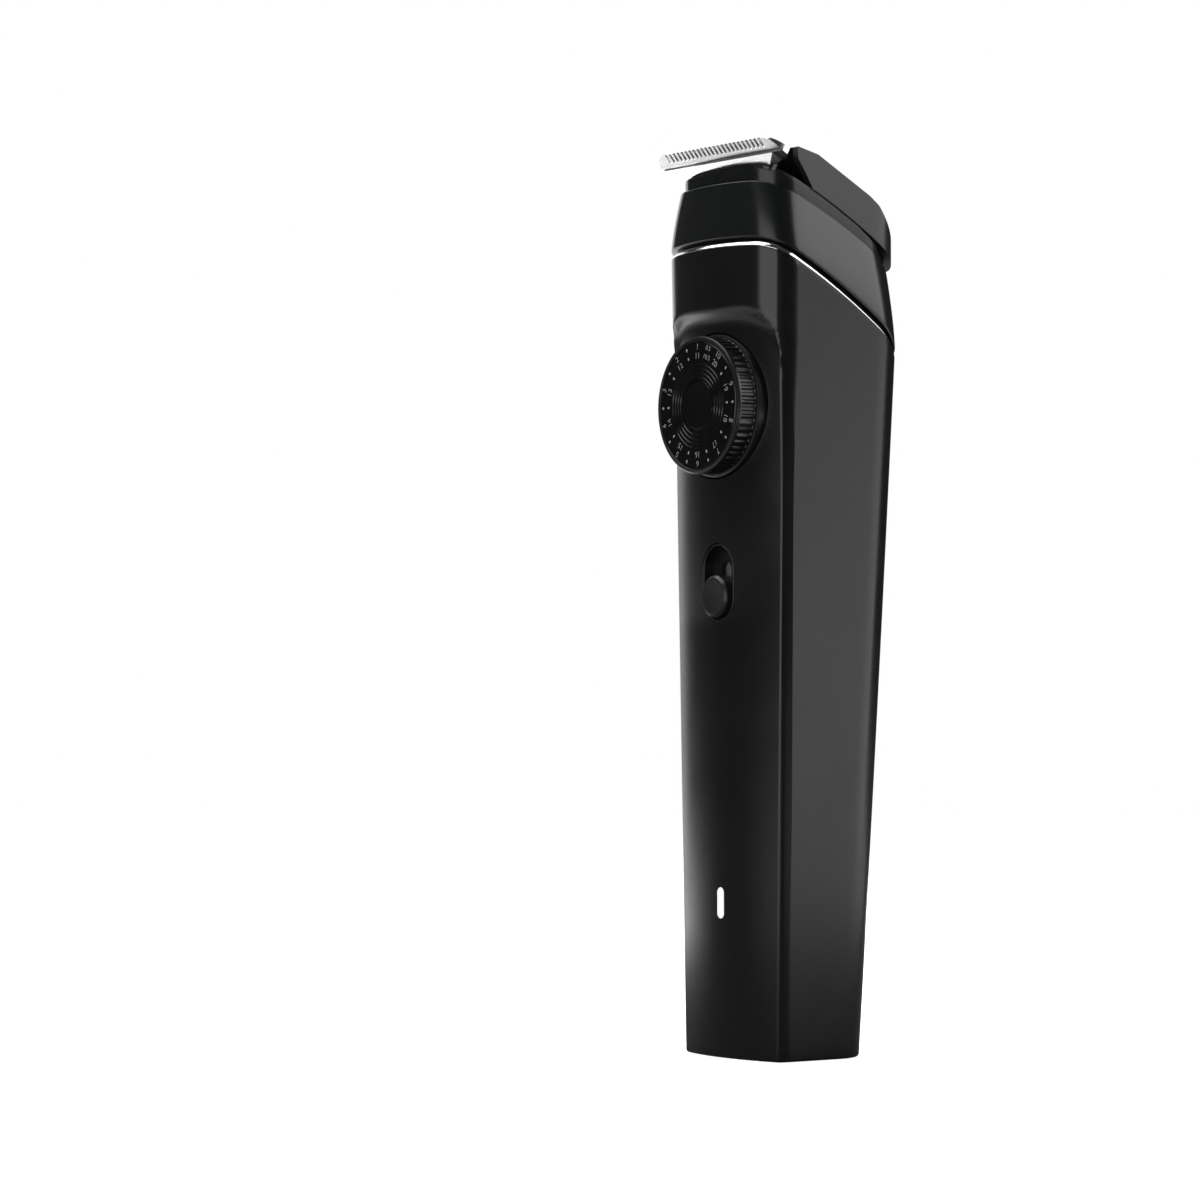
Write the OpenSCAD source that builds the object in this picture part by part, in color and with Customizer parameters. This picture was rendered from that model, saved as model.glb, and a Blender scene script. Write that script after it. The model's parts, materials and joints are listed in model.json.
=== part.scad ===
// Cordless hair clipper with a length dial, a slide switch and a wide blade head.
// Origin: middle of the foot. +Z is up, -Y is the dial side, +X is the user's right.

/* [Housing] */
// Width of the tube at its foot
base_w = 29.6; // [28.6:0.2:36]
// Distance from the origin to the front of the tube's full form at its foot
base_front = 14.5; // [14.3:0.1:17.5]
// Distance from the origin to the back of the tube at its foot
base_back = 11.75; // [11.7:0.05:15]
// Height of the tube on its axis, up to the seam under the trim ring
tube_h = 140.8; // [134:0.2:170]
// Wall of the tube
wall = 1.8; // [1.2:0.1:1.9]
// Depth of the front panel below the tube's full form
panel_step = 1.0; // [0.7:0.1:1.2]

/* [Head] */
// Height of the collar on the axis, with the trim ring under it
collar_h = 13.4; // [12:0.1:18]
// Height of the neck above the collar, on the axis
neck_h = 2.5; // [2.2:0.1:7]
// Width of the neck
neck_w = 30.0; // [29:0.2:36]
// Height of the hood above its gap
hood_h = 6.1; // [5:0.1:8]

/* [Blades] */
// Width of the fixed blade over its outer corners
blade_w = 37.0; // [34:0.5:42]
// Distance from one tooth to the next
tooth_pitch = 1.25; // [1:0.05:1.6]
// Number of gaps between the teeth
tooth_gaps = 24; // [16:2:28]
// Stroke of the moving blade each way
blade_stroke = 1.0; // [0.6:0.1:1.2]

/* [Length dial] */
// Distance from the seam down to the dial's axis
dial_drop = 21.0; // [20.2:0.1:24.6]
// Diameter over the dial's knurled edge, without its flange
dial_d = 24.7; // [20:0.1:24.8]
// How far the dial stands out of its well floor
dial_t = 6.4; // [5.4:0.1:8]
// Length steps on the dial
dial_steps = 20; // [16:1:20]
// Comb travel for one step of the dial
comb_step = 0.5; // [0.45:0.01:0.5]

/* [Switch] */
// Height of the switch pocket's middle
switch_z = 87.25; // [78:0.25:88]
// Diameter of the button
button_d = 7.8; // [6:0.1:8.4]
// Travel of the button
button_travel = 5.0; // [3:0.1:6]

/* [Inside] */
// Diameter of the battery
battery_d = 14.1; // [11:0.1:14.2]
// Length of the battery
battery_l = 49; // [40:1:52]
// Width of the motor
motor_w = 20.1; // [16:0.1:20.4]
// Thickness of the motor
motor_t = 15.1; // [12:0.1:15.5]
// Length of the motor's can
motor_l = 25; // [20:0.5:27]
// Height of the charging light's middle
light_z = 28.45; // [26:0.05:36]

/* [Hidden] */
$fn = 48;

// Heights on the axis of the seam, the collar's top and the neck's top
seam_z = tube_h;
collar_z = seam_z + collar_h;
neck_z = collar_z + neck_h;
dial_z = seam_z - dial_drop;

// Taper of the tube, in millimetres for each millimetre of height
side_flare = 0.0187;
front_flare = 0.0113;
back_flare = 0.0605;
back_curl = 0.00004;
// Radii of the tube's section
front_bow = 80;
back_bow = 60;
panel_bow = 48;
back_corner = 9;
low_corner = 5;
high_corner = 6.5;
// Heights between which the front corners open from the low to the high radius
corner_from = seam_z - 40.8;
corner_to = seam_z - 5.8;
// The arch over the front panel: the height of its top, the radius of its soft shoulder,
// and how far it falls towards the corners
arch_top = seam_z - 3.5;
arch_r = 6;
arch_drop = 9;
foot_edge = 0.6;
form_top = seam_z + 21.8;

// The seam, the collar's top and the neck's top are arcs in the side view, all of one radius,
// given by their fall on the axis for each millimetre towards the back
crown_r = 125;
seam_fall = 0.596;
collar_fall = 0.514;
neck_fall = 0.53;
ring_h = 1.0;
ring_gap = 0.5;
ring_inset = 0.3;
ring_t = 1.2;

// Segments along each stretch of half a section
front_n = 9;
corner_n = 4;
back_n = 5;
rear_n = 3;

fit = 0.1;
running = 0.05;
far = 60;

// Neck section, shared by the collar's hole, the neck and the hood
neck_front = 14.3;
neck_back = 17.4;
neck_corner = 6;
neck_wall = 1.2;
neck_plug = 6;
collar_lip = 0.9;
skirt_h = 6;
skirt_t = 1.2;

// The head's own slanted frame: its plane holds the blades and touches the hood's underside
gap_h = 0.8;
deck_angle = 29.25;
deck_z = neck_z + gap_h;

// Dial and its drive
well_floor = 12.3;
well_floor_t = 1.5;
well_wall = 1.5;
well_r = dial_d / 2 + 1.15;
dial_gap = 0.3;
flange_r = well_r - 0.3;
flange_t = 2.3;
grip_r = dial_d / 2 + 0.3;
dial_back = well_floor + dial_gap;
dial_front = dial_back + dial_t;
cap_sink = 0.5;
grip_grooves = 36;
face_r = dial_d / 2 - 0.7;
face_t = 0.8;
cap_r = 4.6;
shaft_r = 2;
boss_r = 4;
hollow_r = grip_r - 1.7;
hollow_t = dial_t - 3.4;
detent_r = 0.6;
pinion_teeth = 10;
rack_pitch = dial_steps * comb_step / pinion_teeth;
pitch_r = pinion_teeth * rack_pitch / (2 * PI);
tooth_up = 0.27 * rack_pitch;
tooth_down = 0.42 * rack_pitch;
tooth_half = 0.19 * rack_pitch;
tooth_slope = tan(20);
clip_t = 0.45;
clip_groove = 0.5;
pinion_from = well_floor - well_floor_t - 1.1;
pinion_to = 6.8;

// Switch
pocket_side = 0.9;
pocket_end = 0.95;
pocket_w = button_d + 2 * pocket_side;
pocket_l = button_d + button_travel + 2 * pocket_end;
pocket_floor = 12.4;
pocket_back = 11.4;
pocket_pad = 3;
stem_w = 2.8;
stem_gap = 0.4;
bezel_t = 0.45;
button_z = switch_z - button_travel / 2;
button_proud = 1.1;
slider_from = pocket_back - 0.2;
slider_t = 0.7;
slider_half = button_travel + (stem_w + stem_gap) / 2 + 0.4;

// Board, and what stands on its two faces
board_w = 19;
board_t = 1.0;
chip_t = 1.1;
board_front = 8.8;
board_back = board_front - board_t;
board_low = 4;
board_screw_x = 7.5;
light_w = 2.0;
light_l = 5.7;
usb_w = 8.9;
usb_t = 3.2;
usb_l = 7.4;
usb_low = 0.4;
usb_y = -board_back + usb_t / 2;
usb_wall = 0.3;
usb_gap = 0.2;

// Foot
cap_t = 2.2;
cap_skirt = 6;
leg_x = 9.2;
leg_y = -1.5;
leg_r = 2.2;
foot_screw_r = 0.9;
foot_head_r = 1.9;
foot_head_seat = 1.4;

// Battery, motor and the frame that holds them
battery_low = 10;
battery_high = battery_low + battery_l;
nub_h = 0.8;
tab_t = 0.3;
tab_w = 6;
motor_y = 6.5;
motor_low = seam_z - 31.8;
motor_high = motor_low + motor_l;
end_cap_t = 1.5;
can_wall = 1;
motor_shaft_r = 0.75;
platform_t = 3;
platform_low = motor_low - end_cap_t - platform_t;
spine_w = 18;
spine_front = 6.4;
spine_t = 1.5;
spine_low = battery_low + 1;
battery_y = spine_t - spine_front + 0.45 + battery_d / 2;
board_high = platform_low - 7.5;
board_screw_z = [20, board_high - 7];
rib_w = 24;
rib_t = 3;
post_x = motor_w / 2 + 0.6;
post_t = 3;
post_y = [1, 10.5];
bracket_t = 1.2;
bracket_low = motor_high + 0.2;
bracket_screw_y = [4, 9];
small_screw_r = 0.7;

// Eccentric drive
pin_r = 0.8;
cam_r = 3.2;
cam_low = bracket_low + bracket_t + 1.6;
cam_h = 5;
pin_top = deck_z - 7.5;
prong_gap = 3.2;
prong_t = 1.2;
prong_y = [5, 8];
prong_low = cam_low + cam_h + 3.5;
fork_hole = [prong_gap + prong_t + blade_stroke + 0.6, 1];

// Comb carriage and the slots above it
arm_x = 9.8;
arm_t = 2.0;
arm_y = [-8.9, -4.7];
bar_y = [-6.5, -4.7];
bar_low = dial_z + 6.2;
bar_h = 6;
arm_top = deck_z - 11.5;
rack_y = [-9.3, -6.0];
rack_body = 2;
rack_low_teeth = 11;
slot_x = [9.7, 12.1];
slot_y = [-9.2, -6.6];
rail_x = 7;
rail_w = 2;
rail_t = 1.1;
opening_reach = 10;

// Fixed blade, in the head's slanted frame
blade_low = 0.14;
blade_t = 1.16;
blade_tip = 18.8;
blade_root = 16.7;
corner_y = 15.1;
row_half = tooth_gaps * tooth_pitch / 2;
slit_w = 0.62;
bevel_y = 16.1;
bevel_rise = 0.36;
tongue_x = 8.8;
lip_top = neck_w / 2 + 0.2;
lip_low = lip_top - 2;
lip_h = 1.2;
lip_back = 12.8;
lip_rest = 0.15 - gap_h * cos(deck_angle);
cutter_low = blade_low + blade_t + 0.1;
cutter_t = 0.8;
cutter_tip = 18.1;
cutter_back = 11.5;
cutter_half = row_half - blade_stroke - 0.2;
screw_x = 7.2;
screw_y = -4;
screw_r = 1.0;
screw_head_r = 1.3;
screw_head_t = 0.8;
screw_depth = 1.7;
spring_t = 0.3;
fork_x = prong_gap + prong_t + 0.2;
fork_t = 1.2;
deck_t = 1.2;
hood_w = neck_w - 1;
hood_back = 18.9;
hood_wall = 1.4;
hood_corner = 6.5;

function smooth(t) = let(c = min(max(t, 0), 1)) c * c * (3 - 2 * c);
function lerp(a, b, t) = a + (b - a) * t;
function half_w(z) = base_w / 2 + side_flare * z;
function full_front(z) = base_front + front_flare * z;
function full_back(z) = base_back + back_flare * z - back_curl * z * z;
function corner_r(z) =
  lerp(low_corner, high_corner, smooth((z - corner_from) / (corner_to - corner_from)));
function panel_front(z) = full_front(z) - panel_step;

// Centre of a corner circle that touches a side at w and an end arc of radius bow at f
function corner_at(w, f, r, bow) = [w - r, f - bow + sqrt(pow(bow - r, 2) - pow(w - r, 2))];

// How far forward the full form's end reaches at x
function end_at(x, f, r, bow, c) =
  x < c.x * bow / (bow - r) ? f - bow + sqrt(bow * bow - x * x) : c.y + sqrt(r * r - pow(x - c.x, 2));

// How far the panel rises towards the full form near the arch
function arch_lift(x, z, crease) = let(
    foot = arch_top - sqrt(pow(arch_r, 2) - pow(arch_r - panel_step, 2)),
    d = z - foot + arch_drop * (1 - pow(1 - pow(x / crease, 3), 1 / 3)))
  d < 0 ? 0 : d < arch_r ? arch_r - sqrt(arch_r * arch_r - d * d) : arch_r;

// Where the panel's arc crosses the front corner's circle
function crease_at(f, r, bow, c) = let(
    low = f - bow, d = norm([c.x, c.y - low]), u = [c.x, c.y - low] / d,
    a = (bow * bow - r * r + d * d) / (2 * d), h = sqrt(bow * bow - a * a))
  [a * u.x + h * u.y, low + a * u.y - h * u.x];

// Where an end arc runs into the front corner's circle
function tangent_at(r, bow, c) = let(a = asin(c.x / (bow - r))) [c.x + r * sin(a), c.y + r * cos(a)];

// Right half of a section, from the middle of the front to the middle of the back
function half_outline(w, f, b, rf, rb, bow, rear, pf, pbow, z) = let(
    cf = corner_at(w, f, rf, bow),
    cb = corner_at(w, b, rb, rear),
    crease = pf > f ? tangent_at(rf, bow, cf) : crease_at(pf, rf, pbow, cf),
    start = atan2(crease.x - cf.x, crease.y - cf.y),
    stop = asin(cb.x / (rear - rb)),
    edge = rear * sin(stop))
  concat(
    [for (i = [0:front_n - 1]) let(x = crease.x * i / front_n)
      [x, -min(end_at(x, f, rf, bow, cf),
        pf - pbow + sqrt(pbow * pbow - x * x) + arch_lift(x, z, crease.x))]],
    [for (i = [0:corner_n]) let(a = lerp(start, 90, i / corner_n))
      [cf.x + rf * sin(a), -cf.y - rf * cos(a)]],
    [for (i = [0:back_n]) let(a = lerp(90, stop, i / back_n)) [cb.x + rb * sin(a), cb.y + rb * cos(a)]],
    [for (i = [1:rear_n]) let(x = edge * (1 - i / rear_n)) [x, b - rear + sqrt(rear * rear - x * x)]]);

function whole(half) = concat(half,
  [for (i = [len(half) - 2:-1:1]) [-half[i].x, half[i].y]]);

// Section of the tube at height z, moved inwards by inset
function tube_outline(z, inset = 0) = whole(half_outline(
  half_w(z) - inset, full_front(z) - inset, full_back(z) - inset, corner_r(z) - inset,
  back_corner - inset, front_bow - inset, back_bow - inset, panel_front(z) - inset,
  panel_bow - inset, z));

// Section of the head's upright pieces: no panel, so the front arc meets its corners smoothly
function plain_outline(w, f, b, rf, rb) =
  whole(half_outline(w, f, b, rf, rb, front_bow, back_bow, far, panel_bow, 0));

// Section of the neck, moved outwards by grow
function neck_outline(grow = 0) = plain_outline(
  neck_w / 2 + grow, neck_front + grow, neck_back + grow, neck_corner + grow, back_corner + grow);

function hood_outline(inset) = plain_outline(
  hood_w / 2 - inset, neck_front, hood_back - inset, 3, hood_corner - inset);

function ring_at(z, inset = 0) = [for (p = tube_outline(z, inset)) [p.x, p.y, z]];

// Height at y of an arc that passes z on the axis with a given fall
function arc_z(z, fall, y) = let(a = atan(fall))
  z - crown_r * cos(a) + sqrt(pow(crown_r, 2) - pow(y + crown_r * sin(a), 2));

// The tube's section along the seam's arc, raised by up
function seam_ring(up, inset) = [for (k = [0:2 * (front_n + corner_n + back_n + rear_n) + 1]) let(
    first = tube_outline(seam_z, inset)[k].y,
    second = tube_outline(arc_z(seam_z + up, seam_fall, first), inset)[k].y,
    z = arc_z(seam_z + up, seam_fall, second),
    p = tube_outline(z, inset)[k])
  [p.x, p.y, z]];

// The neck's section grown outwards, laid on the collar's top arc and lowered by down
function collar_top_ring(grow, down) = [for (p = neck_outline(grow))
  [p.x, p.y, arc_z(collar_z - down, collar_fall, p.y)]];

// Between two rings: t of the way up, s of the way inwards
function mid_ring(a, b, t, s) = [for (k = [0:len(a) - 1])
  [lerp(a[k].x, b[k].x, s), lerp(a[k].y, b[k].y, s), lerp(a[k].z, b[k].z, t)]];

// Closed skin over a stack of rings
module loft(rings) {
  n = len(rings[0]);
  last = len(rings) - 1;
  function middle(ring) = [for (i = [0:n - 1]) 1] * ring / n;
  points = concat([for (r = rings, p = r) p], [middle(rings[0]), middle(rings[last])]);
  sides = [for (i = [0:last - 1], k = [0:n - 1]) let(
      a = i * n + k, b = i * n + (k + 1) % n, c = b + n, d = a + n)
    each [[a, d, c], [a, c, b]]];
  low = [for (k = [0:n - 1]) [n * (last + 1), k, (k + 1) % n]];
  high = [for (k = [0:n - 1]) [n * (last + 1) + 1, last * n + (k + 1) % n, last * n + k]];
  polyhedron(points, concat(sides, low, high));
}

// Everything under an arc that passes z on the axis and falls towards the back
module below(z, fall) {
  a = atan(fall);
  translate([-far, -crown_r * sin(a), z - crown_r * cos(a)])
    rotate([0, 90, 0])
      cylinder(r = crown_r, h = 2 * far, $fn = 720);
}

// Everything over such an arc
module above(z, fall) {
  difference() {
    box(-far + 1, far - 1, -far, far, z - far, z + far);
    below(z, fall);
  }
}

// A rod along Y, from its front end to its back end
module rod(r, from, to, x = 0, z = 0) {
  translate([x, from, z])
    rotate([-90, 0, 0])
      cylinder(r = r, h = to - from);
}

// A slot-shaped prism along Y, standing upright
module stadium(w, l, from, to, z) {
  translate([0, to, z])
    rotate([90, 0, 0])
      linear_extrude(to - from) {
        square([w, l - w], center = true);
        translate([0, (l - w) / 2]) circle(d = w);
        translate([0, (w - l) / 2]) circle(d = w);
      }
}

module box(x0, x1, y0, y1, z0, z1) {
  translate([x0, y0, z0])
    cube([x1 - x0, y1 - y0, z1 - z0]);
}

// Places its children in the head's slanted frame
module head_frame() {
  translate([0, 0, deck_z])
    rotate([-deck_angle, 0, 0])
      children();
}

module both_sides() {
  children();
  mirror([1, 0, 0]) children();
}

// The tube's form from one height to another, with rings where its taper changes
module tube_core(inset, from, to) {
  stops = [50, corner_from, corner_from + 12, corner_from + 24, corner_to];
  between = [for (z = stops) if (z > from && z < to) z];
  loft([for (z = concat([from], between, [to])) ring_at(z, inset)]);
}

// An upright prism over an outline
module upright(outline) {
  translate([0, 0, form_top - far])
    linear_extrude(far + 20)
      polygon(outline);
}

// A prism across X over a side view given as y and z
module along_x(half, side) {
  translate([-half, 0, 0])
    rotate([90, 0, 90])
      linear_extrude(2 * half)
        polygon(side);
}

// A slot-shaped prism along Z
module slot_up(w, d, y, low, high) {
  translate([0, y, low])
    linear_extrude(high - low) {
      square([w - d, d], center = true);
      translate([(w - d) / 2, 0]) circle(d = d);
      translate([(d - w) / 2, 0]) circle(d = d);
    }
}

// Places a rod along Y at a distance and angle from the dial's axis
module around_dial(r, a) {
  translate([r * cos(a), 0, dial_z + r * sin(a)])
    children();
}

module dial_ring(outer, inner, from, to) {
  difference() {
    rod(outer, from, to, z = dial_z);
    rod(inner, from - 1, to + 1, z = dial_z);
  }
}

module body_shell() {
  arch = [-12, -9, -7, -5.5, -4, -3, -2, -1, 0, 1];
  color("#1b1c1d")
    difference() {
      loft(concat(
        [ring_at(0, foot_edge), ring_at(foot_edge / 3, foot_edge / 3), ring_at(foot_edge)],
        [for (z = [40, 80, corner_from, corner_from + 10, corner_from + 18]) ring_at(z)],
        [for (d = arch) ring_at(arch_top + d)],
        [ring_at(form_top)]));
      difference() {
        tube_core(wall, -1, form_top + 2);
        rod(well_r + well_wall, -far, well_floor_t - well_floor, z = dial_z);
        stadium(pocket_w + pocket_pad, pocket_l + pocket_pad, -far, -pocket_back, switch_z);
      }
      above(seam_z, seam_fall);
      rod(well_r, -far, -well_floor, z = dial_z);
      rod(shaft_r + running, -far, 0, z = dial_z);
      stadium(pocket_w, pocket_l, -far, -pocket_floor, switch_z);
      stadium(stem_w + stem_gap, stem_w + stem_gap + button_travel, -far, 0, switch_z);
      stadium(light_w + fit, light_l + fit, -far, 0, light_z);
    }
}

module bottom_cap() {
  inset = wall + fit;
  color("#151617")
    difference() {
      loft([ring_at(0, inset), ring_at(cap_skirt, inset)]);
      translate([0, 0, cap_t])
        linear_extrude(cap_skirt)
          polygon(plain_outline(half_w(0) - inset - skirt_t, panel_front(0) - inset - skirt_t,
            full_back(0) - inset - skirt_t, low_corner, back_corner - inset));
      slot_up(usb_w + 2 * usb_gap, usb_t + 2 * usb_gap, usb_y, -1, cap_t + 1);
      both_sides() translate([leg_x, leg_y, -1]) {
        cylinder(r = foot_screw_r + running, h = cap_t + 2);
        cylinder(r = foot_head_r + fit, h = 1 + foot_head_seat);
      }
    }
}

module trim_ring() {
  color("#d8dadd")
    difference() {
      tube_core(ring_inset, corner_from + 20, form_top);
      tube_core(ring_inset + ring_t, corner_from + 15, form_top + 1);
      above(seam_z + ring_h, seam_fall);
      below(seam_z, seam_fall);
    }
}

module head_collar() {
  seat = ring_h + ring_gap;
  low = seam_ring(seat - 1, 0);
  body = seam_ring(seat, 0);
  top = collar_top_ring(collar_lip, 0);
  edge = collar_top_ring(collar_lip - 0.35, 0);
  color("#202223")
    difference() {
      union() {
        difference() {
          loft([low, mid_ring(body, top, 0.03, 0), mid_ring(body, top, 0.35, 0.22),
            mid_ring(body, top, 0.7, 0.6), mid_ring(body, top, 0.94, 0.93), edge]);
          below(seam_z + seat, seam_fall);
        }
        difference() {
          tube_core(wall + fit, corner_from + 15, form_top);
          above(seam_z + seat + 1, seam_fall);
          below(seam_z - skirt_h, seam_fall);
        }
      }
      difference() {
        tube_core(wall + fit + skirt_t, corner_from + 10, form_top + 2);
        above(collar_z - neck_plug, collar_fall);
      }
      intersection() {
        upright(neck_outline(fit));
        above(collar_z - neck_plug, collar_fall);
      }
    }
}

module chassis() {
  color("#3a3d40")
    difference() {
      union() {
        box(-spine_w / 2, spine_w / 2, -spine_front, spine_t - spine_front,
          spine_low, platform_low + platform_t);
        for (z = [battery_low + 4, battery_high - 7])
          box(-rib_w / 2, rib_w / 2, -spine_front, battery_y, z, z + rib_t);
        box(-post_x - post_t, post_x + post_t, -spine_front, post_y[1],
          platform_low, platform_low + platform_t);
        box(-motor_w / 2, motor_w / 2, 0, motor_y + motor_t / 2, platform_low, platform_low + platform_t);
        both_sides() {
          box(post_x, post_x + post_t, post_y[0], post_y[1], platform_low, bracket_low);
          translate([leg_x, leg_y, cap_t])
            cylinder(r = leg_r, h = battery_low + 5 - cap_t);
          for (z = board_screw_z) rod(1.6, -board_back, spine_t - spine_front, board_screw_x, z);
        }
      }
      translate([0, battery_y, battery_low - 1])
        cylinder(d = battery_d + 0.4, h = battery_l + 3);
      box(-tab_w / 2 - 0.5, tab_w / 2 + 0.5, -far, 0, battery_high + 0.4, battery_high + 1.7);
      both_sides() {
        for (z = board_screw_z) rod(small_screw_r + running, -far, 0, board_screw_x, z);
        for (y = bracket_screw_y)
          translate([post_x + post_t / 2, y, bracket_low - 7])
            cylinder(r = small_screw_r + running, h = 10);
        translate([leg_x, leg_y, 0])
          cylinder(r = foot_screw_r + running, h = 9);
      }
    }
}

module chassis_screws() {
  color("#8d9094")
    both_sides() translate([leg_x, leg_y, 0.3]) {
      difference() {
        cylinder(r = foot_head_r, h = foot_head_seat - 0.3);
        translate([0, 0, -0.1]) cylinder(r = 0.9, h = 0.7, $fn = 6);
      }
      cylinder(r = foot_screw_r, h = 8);
    }
}

module circuit_board() {
  color("#1f5a34")
    difference() {
      box(-board_w / 2, board_w / 2, -board_front, -board_back, board_low, board_high);
      both_sides() for (z = board_screw_z) rod(small_screw_r + 0.3, -far, 0, board_screw_x, z);
    }
}

module board_screws() {
  color("#8d9094")
    both_sides() for (z = board_screw_z) {
      rod(1.5, -board_front - 0.9, -board_front, board_screw_x, z);
      rod(small_screw_r, -board_front, -spine_front + 1, board_screw_x, z);
    }
}

module control_chips() {
  color("#26282b") {
    box(-4, 4, -board_front - chip_t, -board_front, 42, 50);
    box(-3, 3, -board_back, -board_back + chip_t, 66, 72);
    box(2, 7, -board_front - chip_t, -board_front, 58, 62);
  }
}

module usb_socket() {
  color("#b9bcc0")
    difference() {
      slot_up(usb_w, usb_t, usb_y, usb_low, usb_low + usb_l);
      slot_up(usb_w - 2 * usb_wall, usb_t - 2 * usb_wall, usb_y, -1, usb_low + usb_l - 1);
    }
}

module usb_tongue() {
  color("#2a2c2e")
    box(-3.3, 3.3, usb_y - 0.35, usb_y + 0.35, usb_low + 0.8, usb_low + usb_l - 1);
}

module led_chip() {
  color("#f4f1e4")
    box(-0.8, 0.8, -board_front - 0.8, -board_front, light_z - 1.6, light_z + 1.6);
}

module led_light_pipe() {
  color("#f6f7f8") {
    stadium(light_w, light_l, -panel_front(light_z), -board_front - 1.3, light_z);
    stadium(light_w + 1.6, light_l + 1.6, wall + fit - panel_front(light_z), -11, light_z);
  }
}

module battery_cell() {
  color("#3b5f8a")
    translate([0, battery_y, battery_low]) {
      cylinder(d = battery_d, h = battery_l);
      cylinder(r = 2.5, h = battery_l + nub_h);
    }
}

module battery_contacts() {
  color("#c9c5b4")
    for (z = [battery_low - tab_t, battery_high + nub_h])
      box(-tab_w / 2, tab_w / 2, -board_back, battery_y + 2, z, z + tab_t);
}

module motor_form(low, high, grow = 0) {
  intersection() {
    translate([0, motor_y, low])
      cylinder(d = motor_w + 2 * grow, h = high - low);
    box(-far, far, motor_y - motor_t / 2 - grow, motor_y + motor_t / 2 + grow, low, high);
  }
}

module motor_can() {
  color("#a4a8ac")
    difference() {
      motor_form(motor_low, motor_high);
      translate([0, motor_y, motor_low - 1])
        cylinder(d = motor_t - 2 * can_wall, h = motor_l + 1 - can_wall);
      translate([0, motor_y, motor_low])
        cylinder(r = motor_shaft_r + running, h = motor_l + 1);
    }
}

module motor_end_cap() {
  color("#e6e4dc")
    difference() {
      motor_form(motor_low - end_cap_t, motor_low);
      translate([0, motor_y, motor_low - end_cap_t - 1])
        cylinder(r = motor_shaft_r + running, h = end_cap_t + 2);
    }
}

module motor_bracket() {
  color("#b4b7ba")
    difference() {
      box(-post_x - post_t, post_x + post_t, post_y[0], post_y[1], bracket_low, bracket_low + bracket_t);
      translate([0, motor_y, bracket_low - 1])
        cylinder(r = 3, h = bracket_t + 2);
      both_sides() for (y = bracket_screw_y)
        translate([post_x + post_t / 2, y, bracket_low - 1])
          cylinder(r = small_screw_r + fit, h = bracket_t + 2);
    }
}

module motor_screws() {
  color("#8d9094")
    both_sides() for (y = bracket_screw_y) translate([post_x + post_t / 2, y, 0]) {
      translate([0, 0, bracket_low + bracket_t]) cylinder(r = 1.3, h = 0.9);
      translate([0, 0, bracket_low - 6]) cylinder(r = small_screw_r, h = 6 + bracket_t);
    }
}

module motor_shaft() {
  color("#c3c6c9")
    translate([0, motor_y, motor_low - end_cap_t + 0.1]) {
      cylinder(r = motor_shaft_r, h = cam_low + cam_h - 0.5 - motor_low + end_cap_t);
      translate([0, 0, end_cap_t + 2])
        cylinder(d = motor_t - 2 * can_wall - 0.7, h = motor_l - 6);
    }
}

module eccentric_cam() {
  color("#e9e7df")
    difference() {
      union() {
        translate([0, motor_y, cam_low]) cylinder(r = cam_r, h = cam_h);
        translate([0, motor_y + blade_stroke, cam_low])
          cylinder(r = pin_r, h = pin_top - cam_low);
      }
      translate([0, motor_y, cam_low - 1])
        cylinder(r = motor_shaft_r, h = cam_h + 0.6);
    }
}

module switch_body() {
  color("#2b2d30")
    difference() {
      box(-4, 4, -board_front - 1.4, -board_front, switch_z - 7.5, switch_z + 7.5);
      box(-1.1, 1.1, -far, -board_front - 0.4, button_z - 1.1, button_z + button_travel + 1.1);
    }
}

module switch_bezel() {
  front = panel_front(switch_z) - 0.18;
  color("#0e0f10")
    difference() {
      stadium(pocket_w - fit, pocket_l - fit, -front, -pocket_floor, switch_z);
      stadium(pocket_w - fit - 2 * bezel_t, pocket_l - fit - 2 * bezel_t, -far, 0, switch_z);
    }
}

module power_button() {
  front = panel_front(button_z) + button_proud;
  edge = 0.45;
  color("#141516") {
    translate([0, -front, button_z])
      rotate([-90, 0, 0])
        cylinder(r1 = button_d / 2 - edge, r2 = button_d / 2, h = edge);
    rod(button_d / 2, edge - front, -pocket_floor - 0.15, z = button_z);
    rod(stem_w / 2, -pocket_floor - 0.5, -slider_from, z = button_z);
  }
}

module button_slider() {
  color("#2f3236") {
    box(-3.4, 3.4, -slider_from, slider_t - slider_from, button_z - slider_half,
      button_z + slider_half);
    box(-0.8, 0.8, slider_t - slider_from - 0.2, -board_front - 0.6, button_z - 0.8, button_z + 0.8);
  }
}

module dial_knob() {
  edge = 0.3;
  color("#111213")
    difference() {
      union() {
        rod(flange_r, -dial_back - flange_t, -dial_back, z = dial_z);
        rod(grip_r, edge - dial_front, -dial_back, z = dial_z);
        translate([0, -dial_front, dial_z])
          rotate([-90, 0, 0])
            cylinder(r1 = grip_r - edge, r2 = grip_r, h = edge);
      }
      dial_ring(hollow_r, boss_r, -dial_back - hollow_t, -dial_back + 1);
      for (i = [0:dial_steps - 1])
        around_dial(hollow_r, i * 360 / dial_steps) rod(detent_r, -dial_back - hollow_t, -dial_back + 1);
      for (i = [0:grip_grooves - 1])
        around_dial(grip_r + 0.1, (i + 0.5) * 360 / grip_grooves)
          rod(0.3, -far, -dial_back - flange_t);
      rod(face_r + fit, -far, face_t - dial_front, z = dial_z);
      rod(cap_r + fit, -far, face_t + cap_sink - dial_front, z = dial_z);
      rod(shaft_r, -far, 0, z = dial_z);
    }
}

module dial_face() {
  groove = 0.25;
  color("#070808")
    difference() {
      dial_ring(face_r, cap_r + fit, 0.04 - dial_front, face_t - dial_front);
      for (i = [0:3])
        dial_ring(5.4 + 0.75 * i, 5.4 + 0.75 * i - groove, -far, groove - dial_front);
    }
}

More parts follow.
